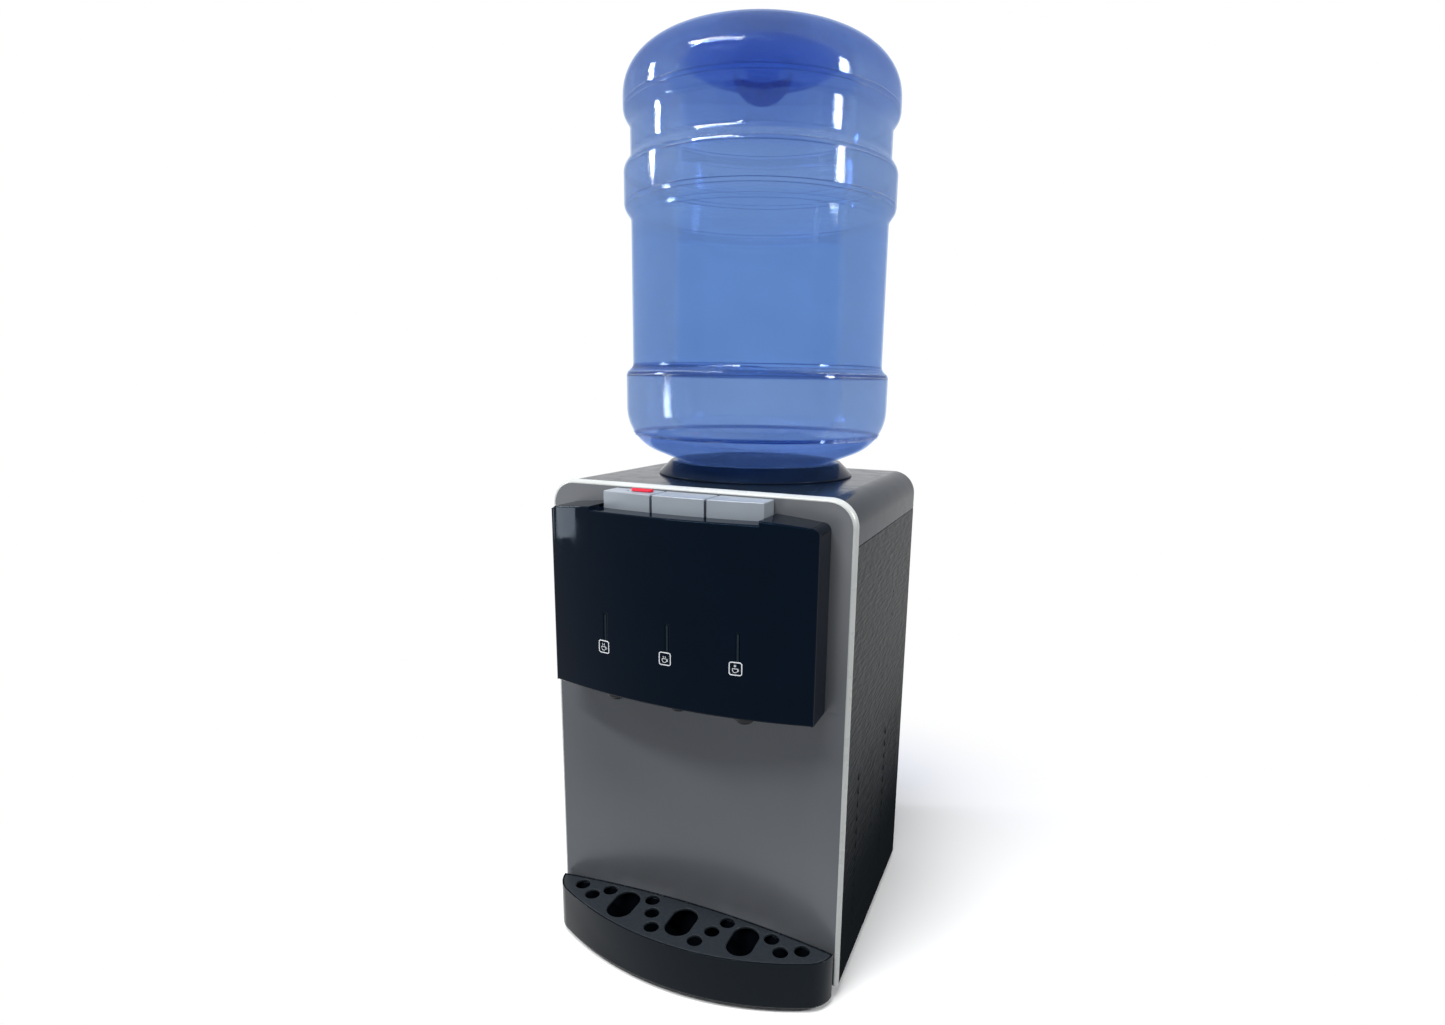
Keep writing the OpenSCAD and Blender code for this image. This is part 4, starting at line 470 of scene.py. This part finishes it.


# ---- Dressed solids ----
# The band round the fascia's edge gets the rim colour, which is partly a painted highlight.
repaint(dress("front_fascia", edge=0.5 * MM), MATS["rim"], on_fascia_rim)
dress("dispensing_hood", edge=0.35 * MM, wide=2.0 * MM, pick=on_hood_front)
for name in ("hot_button", "ambient_button", "cold_button"):
    dress(name, edge=0.3 * MM, wide=1.1 * MM, pick=on_button_top)
dress("child_lock", edge=0.2 * MM)
dress("drip_tray", edge=0.45 * MM, wide=3.0 * MM, pick=under_tray)
dress("drip_grille", edge=0.8 * MM, steps=3)
dress("top_cover", edge=0.9 * MM)
dress("bottle_seat", edge=0.7 * MM, steps=3)
bottle = dress("bottle", edge=0, wide=2.2 * MM, pick=on_bottle_band, sharp=12.0)
repaint(bottle, MATS["bottle_base"], on_bottle_base)
for name in ("left_side_panel", "right_side_panel"):
    dress(name, edge=0.25 * MM, steps=1)
for name in ("hot_tap_body", "ambient_tap_body", "cold_tap_body"):
    dress(name, edge=0.4 * MM)

# A valve spring shortens towards its fixed end as its stem lifts, so each spring gets a mesh of its own; this
# script doesn't shorten it
for kind in SIGN_XS:
    name = kind + "_valve_spring"
    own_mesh(dress(name, edge=0))


# ---- Printed signs ----
def ribbon(bm, line, width, closed=False):
    """A raised line of print on the hood's front, along points (x, z)."""
    count = len(line)
    rows = []
    for i, (x, z) in enumerate(line):
        before = line[i - 1] if closed or i else line[i]
        after = line[(i + 1) % count] if closed or i < count - 1 else line[i]
        way = Vector((after[0] - before[0], after[1] - before[1])).normalized()
        nx, nz = -way.y * width / 2, way.x * width / 2
        corners = ((1, -SUNK), (1, PROUD), (-1, PROUD), (-1, -SUNK))
        rows.append([bm.verts.new((x + side * nx, hood_face(x + side * nx, out), z + side * nz))
                     for side, out in corners])
    for i in range(count if closed else count - 1):
        a, b = rows[i], rows[(i + 1) % count]
        for k in range(4):
            bm.faces.new((a[k], a[(k + 1) % 4], b[(k + 1) % 4], b[k]))
    if not closed:
        bm.faces.new(rows[0])
        bm.faces.new(rows[-1])


def arc(cx, cz, r, start, end, steps=8):
    """Points (x, z) along a circle, from one angle in degrees to another."""
    angles = [math.radians(start + (end - start) * i / steps) for i in range(steps + 1)]
    return [(cx + r * math.cos(angle), cz + r * math.sin(angle)) for angle in angles]


def frame_sign(bm, cx, cz):
    """A nearly square frame with round corners."""
    corners = [(1, 1, 0), (-1, 1, 90), (-1, -1, 180), (1, -1, 270)]
    line = [p for sx, sz, start in corners
            for p in arc(cx + sx * (SIGN_HALF - SIGN_R), cz + sz * (SIGN_TALL - SIGN_R), SIGN_R,
                         start, start + 90, 5)]
    ribbon(bm, line, FRAME_LINE, closed=True)


def cup(bm, cx, cz):
    """A round cup: its bowl, its brim and its handle."""
    brim = cz + 1.0 * MM
    bowl = arc(cx, cz - 0.2 * MM, CUP_R, 180, 360, 10)
    ribbon(bm, [(cx - CUP_R, brim)] + bowl + [(cx + CUP_R, brim)], CUP_LINE)
    ribbon(bm, [(cx - CUP_R, brim), (cx + CUP_R, brim)], CUP_LINE)
    ribbon(bm, arc(cx + CUP_R, cz - 0.3 * MM, 1.0 * MM, 85, -85), CUP_LINE)


def steam(bm, x, z, h, steps=6):
    """One wave of steam that rises by h."""
    sway = 0.35 * MM
    ribbon(bm, [(x + sway * math.sin(2 * math.pi * i / steps), z + h * i / steps)
                for i in range(steps + 1)], STEAM_LINE)


def star(bm, x, z):
    """Three crossing lines, for cold water."""
    for angle in (30, 90, 150):
        dx, dz = STAR_R * math.cos(math.radians(angle)), STAR_R * math.sin(math.radians(angle))
        ribbon(bm, [(x - dx, z - dz), (x + dx, z + dz)], STAR_LINE)


for kind, x in SIGN_XS.items():
    bm = bmesh.new()
    cup_x = x - 0.4 * MM
    frame_sign(bm, x, SIGN_Z)
    cup(bm, cup_x, SIGN_Z - 1.0 * MM)
    if kind == "cold":
        star(bm, cup_x, SIGN_Z + 2.5 * MM)
    else:
        for side in (-1, 1):
            steam(bm, cup_x + side * 1.0 * MM, SIGN_Z + 1.0 * MM, STEAM_HEIGHTS[kind])
    piece(kind + "_pictogram", bm, "cabinet", MATS["print"])


# ---- Studio ----
def seen_directly(nodes, links):
    """1 for rays from the camera, a gloss or a clear body, and 0 for the light that the object receives."""
    rays = nodes.new("ShaderNodeLightPath")
    total = rays.outputs["Is Camera Ray"]
    for name in ("Is Glossy Ray", "Is Transmission Ray"):
        total = operate(nodes, links, "ShaderNodeMath", "MAXIMUM", total, rays.outputs[name]).outputs[0]
    return total


def floor_material():
    """White, fading into the white surroundings away from the object, where it keeps the shadow. The light
    that it throws back onto the object is a grey floor's."""
    mat, nodes, links, bsdf = new_material("floor_white")
    bsdf.inputs["Base Color"].default_value = (0.93, 0.93, 0.93, 1)
    bsdf.inputs["Roughness"].default_value = 0.9
    bsdf.inputs["Specular IOR Level"].default_value = 0.0
    away = operate(nodes, links, "ShaderNodeVectorMath", "LENGTH", object_place(nodes))
    far = grow(nodes, links, away.outputs["Value"], start=0.22, end=0.62, easing="SMOOTHSTEP")
    white = nodes.new("ShaderNodeEmission")
    grey = nodes.new("ShaderNodeBsdfDiffuse")
    grey.inputs["Color"].default_value = (0.30, 0.30, 0.31, 1)
    fading = mixed(nodes, links, far, bsdf.outputs[0], white.outputs[0])
    links.new(mixed(nodes, links, seen_directly(nodes, links), grey.outputs[0], fading),
              nodes["Material Output"].inputs["Surface"])
    return mat


def lay_floor(half, z):
    bm = bmesh.new()
    bmesh.ops.create_grid(bm, x_segments=1, y_segments=1, size=half)
    obj = mesh_object("floor", bm, floor_material())
    obj.location = (0, 0, z)


def light_surroundings():
    """White where they are seen, and a dim, cool light for what they shine on."""
    world = bpy.data.worlds.new("studio")
    bpy.context.scene.world = world
    world.use_nodes = True
    nodes, links = world.node_tree.nodes, world.node_tree.links
    nodes.clear()
    backgrounds = []
    for color, strength in (((0.90, 0.95, 1.0, 1), 0.18), ((1, 1, 1, 1), 1.0)):
        background = nodes.new("ShaderNodeBackground")
        background.inputs["Color"].default_value = color
        background.inputs["Strength"].default_value = strength
        backgrounds.append(background.outputs[0])
    out = nodes.new("ShaderNodeOutputWorld")
    links.new(mixed(nodes, links, seen_directly(nodes, links), *backgrounds), out.inputs[0])


def area(name, at, target, size, power, mirrored=True):
    """A rectangular lamp, which glossy pieces show only if it is mirrored."""
    data = bpy.data.lights.new(name, "AREA")
    data.shape = "RECTANGLE"
    data.size, data.size_y = size
    data.energy = power
    obj = bpy.data.objects.new(name, data)
    obj.location = at
    obj.rotation_euler = (Vector(target) - Vector(at)).to_track_quat("-Z", "Y").to_euler()
    obj.visible_glossy = mirrored
    bpy.context.scene.collection.objects.link(obj)


lay_floor(half=6.0, z=-0.5 * MM)
light_surroundings()
MIDDLE = (0, 0, 0.45)
BOTTLE_WAIST = (0, 0.03, 0.9)
area("tube_front", (-0.50, -1.50, 2.25), MIDDLE, (1.4, 0.15), 40)
area("ceiling", (-0.10, -0.75, 2.50), MIDDLE, (1.4, 0.6), 44, mirrored=False)
area("strip_right", (1.9, -0.10, 1.40), BOTTLE_WAIST, (0.22, 0.55), 26)
area("strip_left", (-1.83, -0.49, 1.45), BOTTLE_WAIST, (0.10, 0.45), 13)
area("window_left", (-1.70, -1.04, 0.32), (-0.1, -0.17, 0.32), (0.24, 0.48), 4)


# ---- Camera ----
def place_camera(at, yaw, pitch, roll, lens, shift):
    """Looks along +Y, turned left by yaw, down by pitch and about its line of sight by roll, in degrees."""
    yaw, pitch, roll = (math.radians(angle) for angle in (yaw, pitch, roll))
    forward = Vector((-math.sin(yaw) * math.cos(pitch), math.cos(yaw) * math.cos(pitch), -math.sin(pitch)))
    level = Vector((math.cos(yaw), math.sin(yaw), 0))
    below = forward.cross(level)
    right = math.cos(roll) * level + math.sin(roll) * below
    down = -math.sin(roll) * level + math.cos(roll) * below
    data = bpy.data.cameras.new("camera")
    data.sensor_width = 36.0
    data.lens = lens
    data.shift_x, data.shift_y = shift
    data.clip_start = 20 * MM
    camera = bpy.data.objects.new("camera", data)
    basis = Matrix((right, -down, -forward)).transposed().to_4x4()
    camera.matrix_world = Matrix.Translation(at) @ basis
    bpy.context.scene.collection.objects.link(camera)
    bpy.context.scene.camera = camera


# The photograph's view: in front, to the right, a little above the cabinet
place_camera(Vector((0.3164, FRONT_Y - 0.6248, TOP_Z + 0.094)), yaw=22.609, pitch=11.584, roll=-0.943,
             lens=19.2681, shift=(-0.0181, 0.0204))
bpy.context.scene.view_settings.view_transform = "Standard"

bpy.context.view_layer.update()
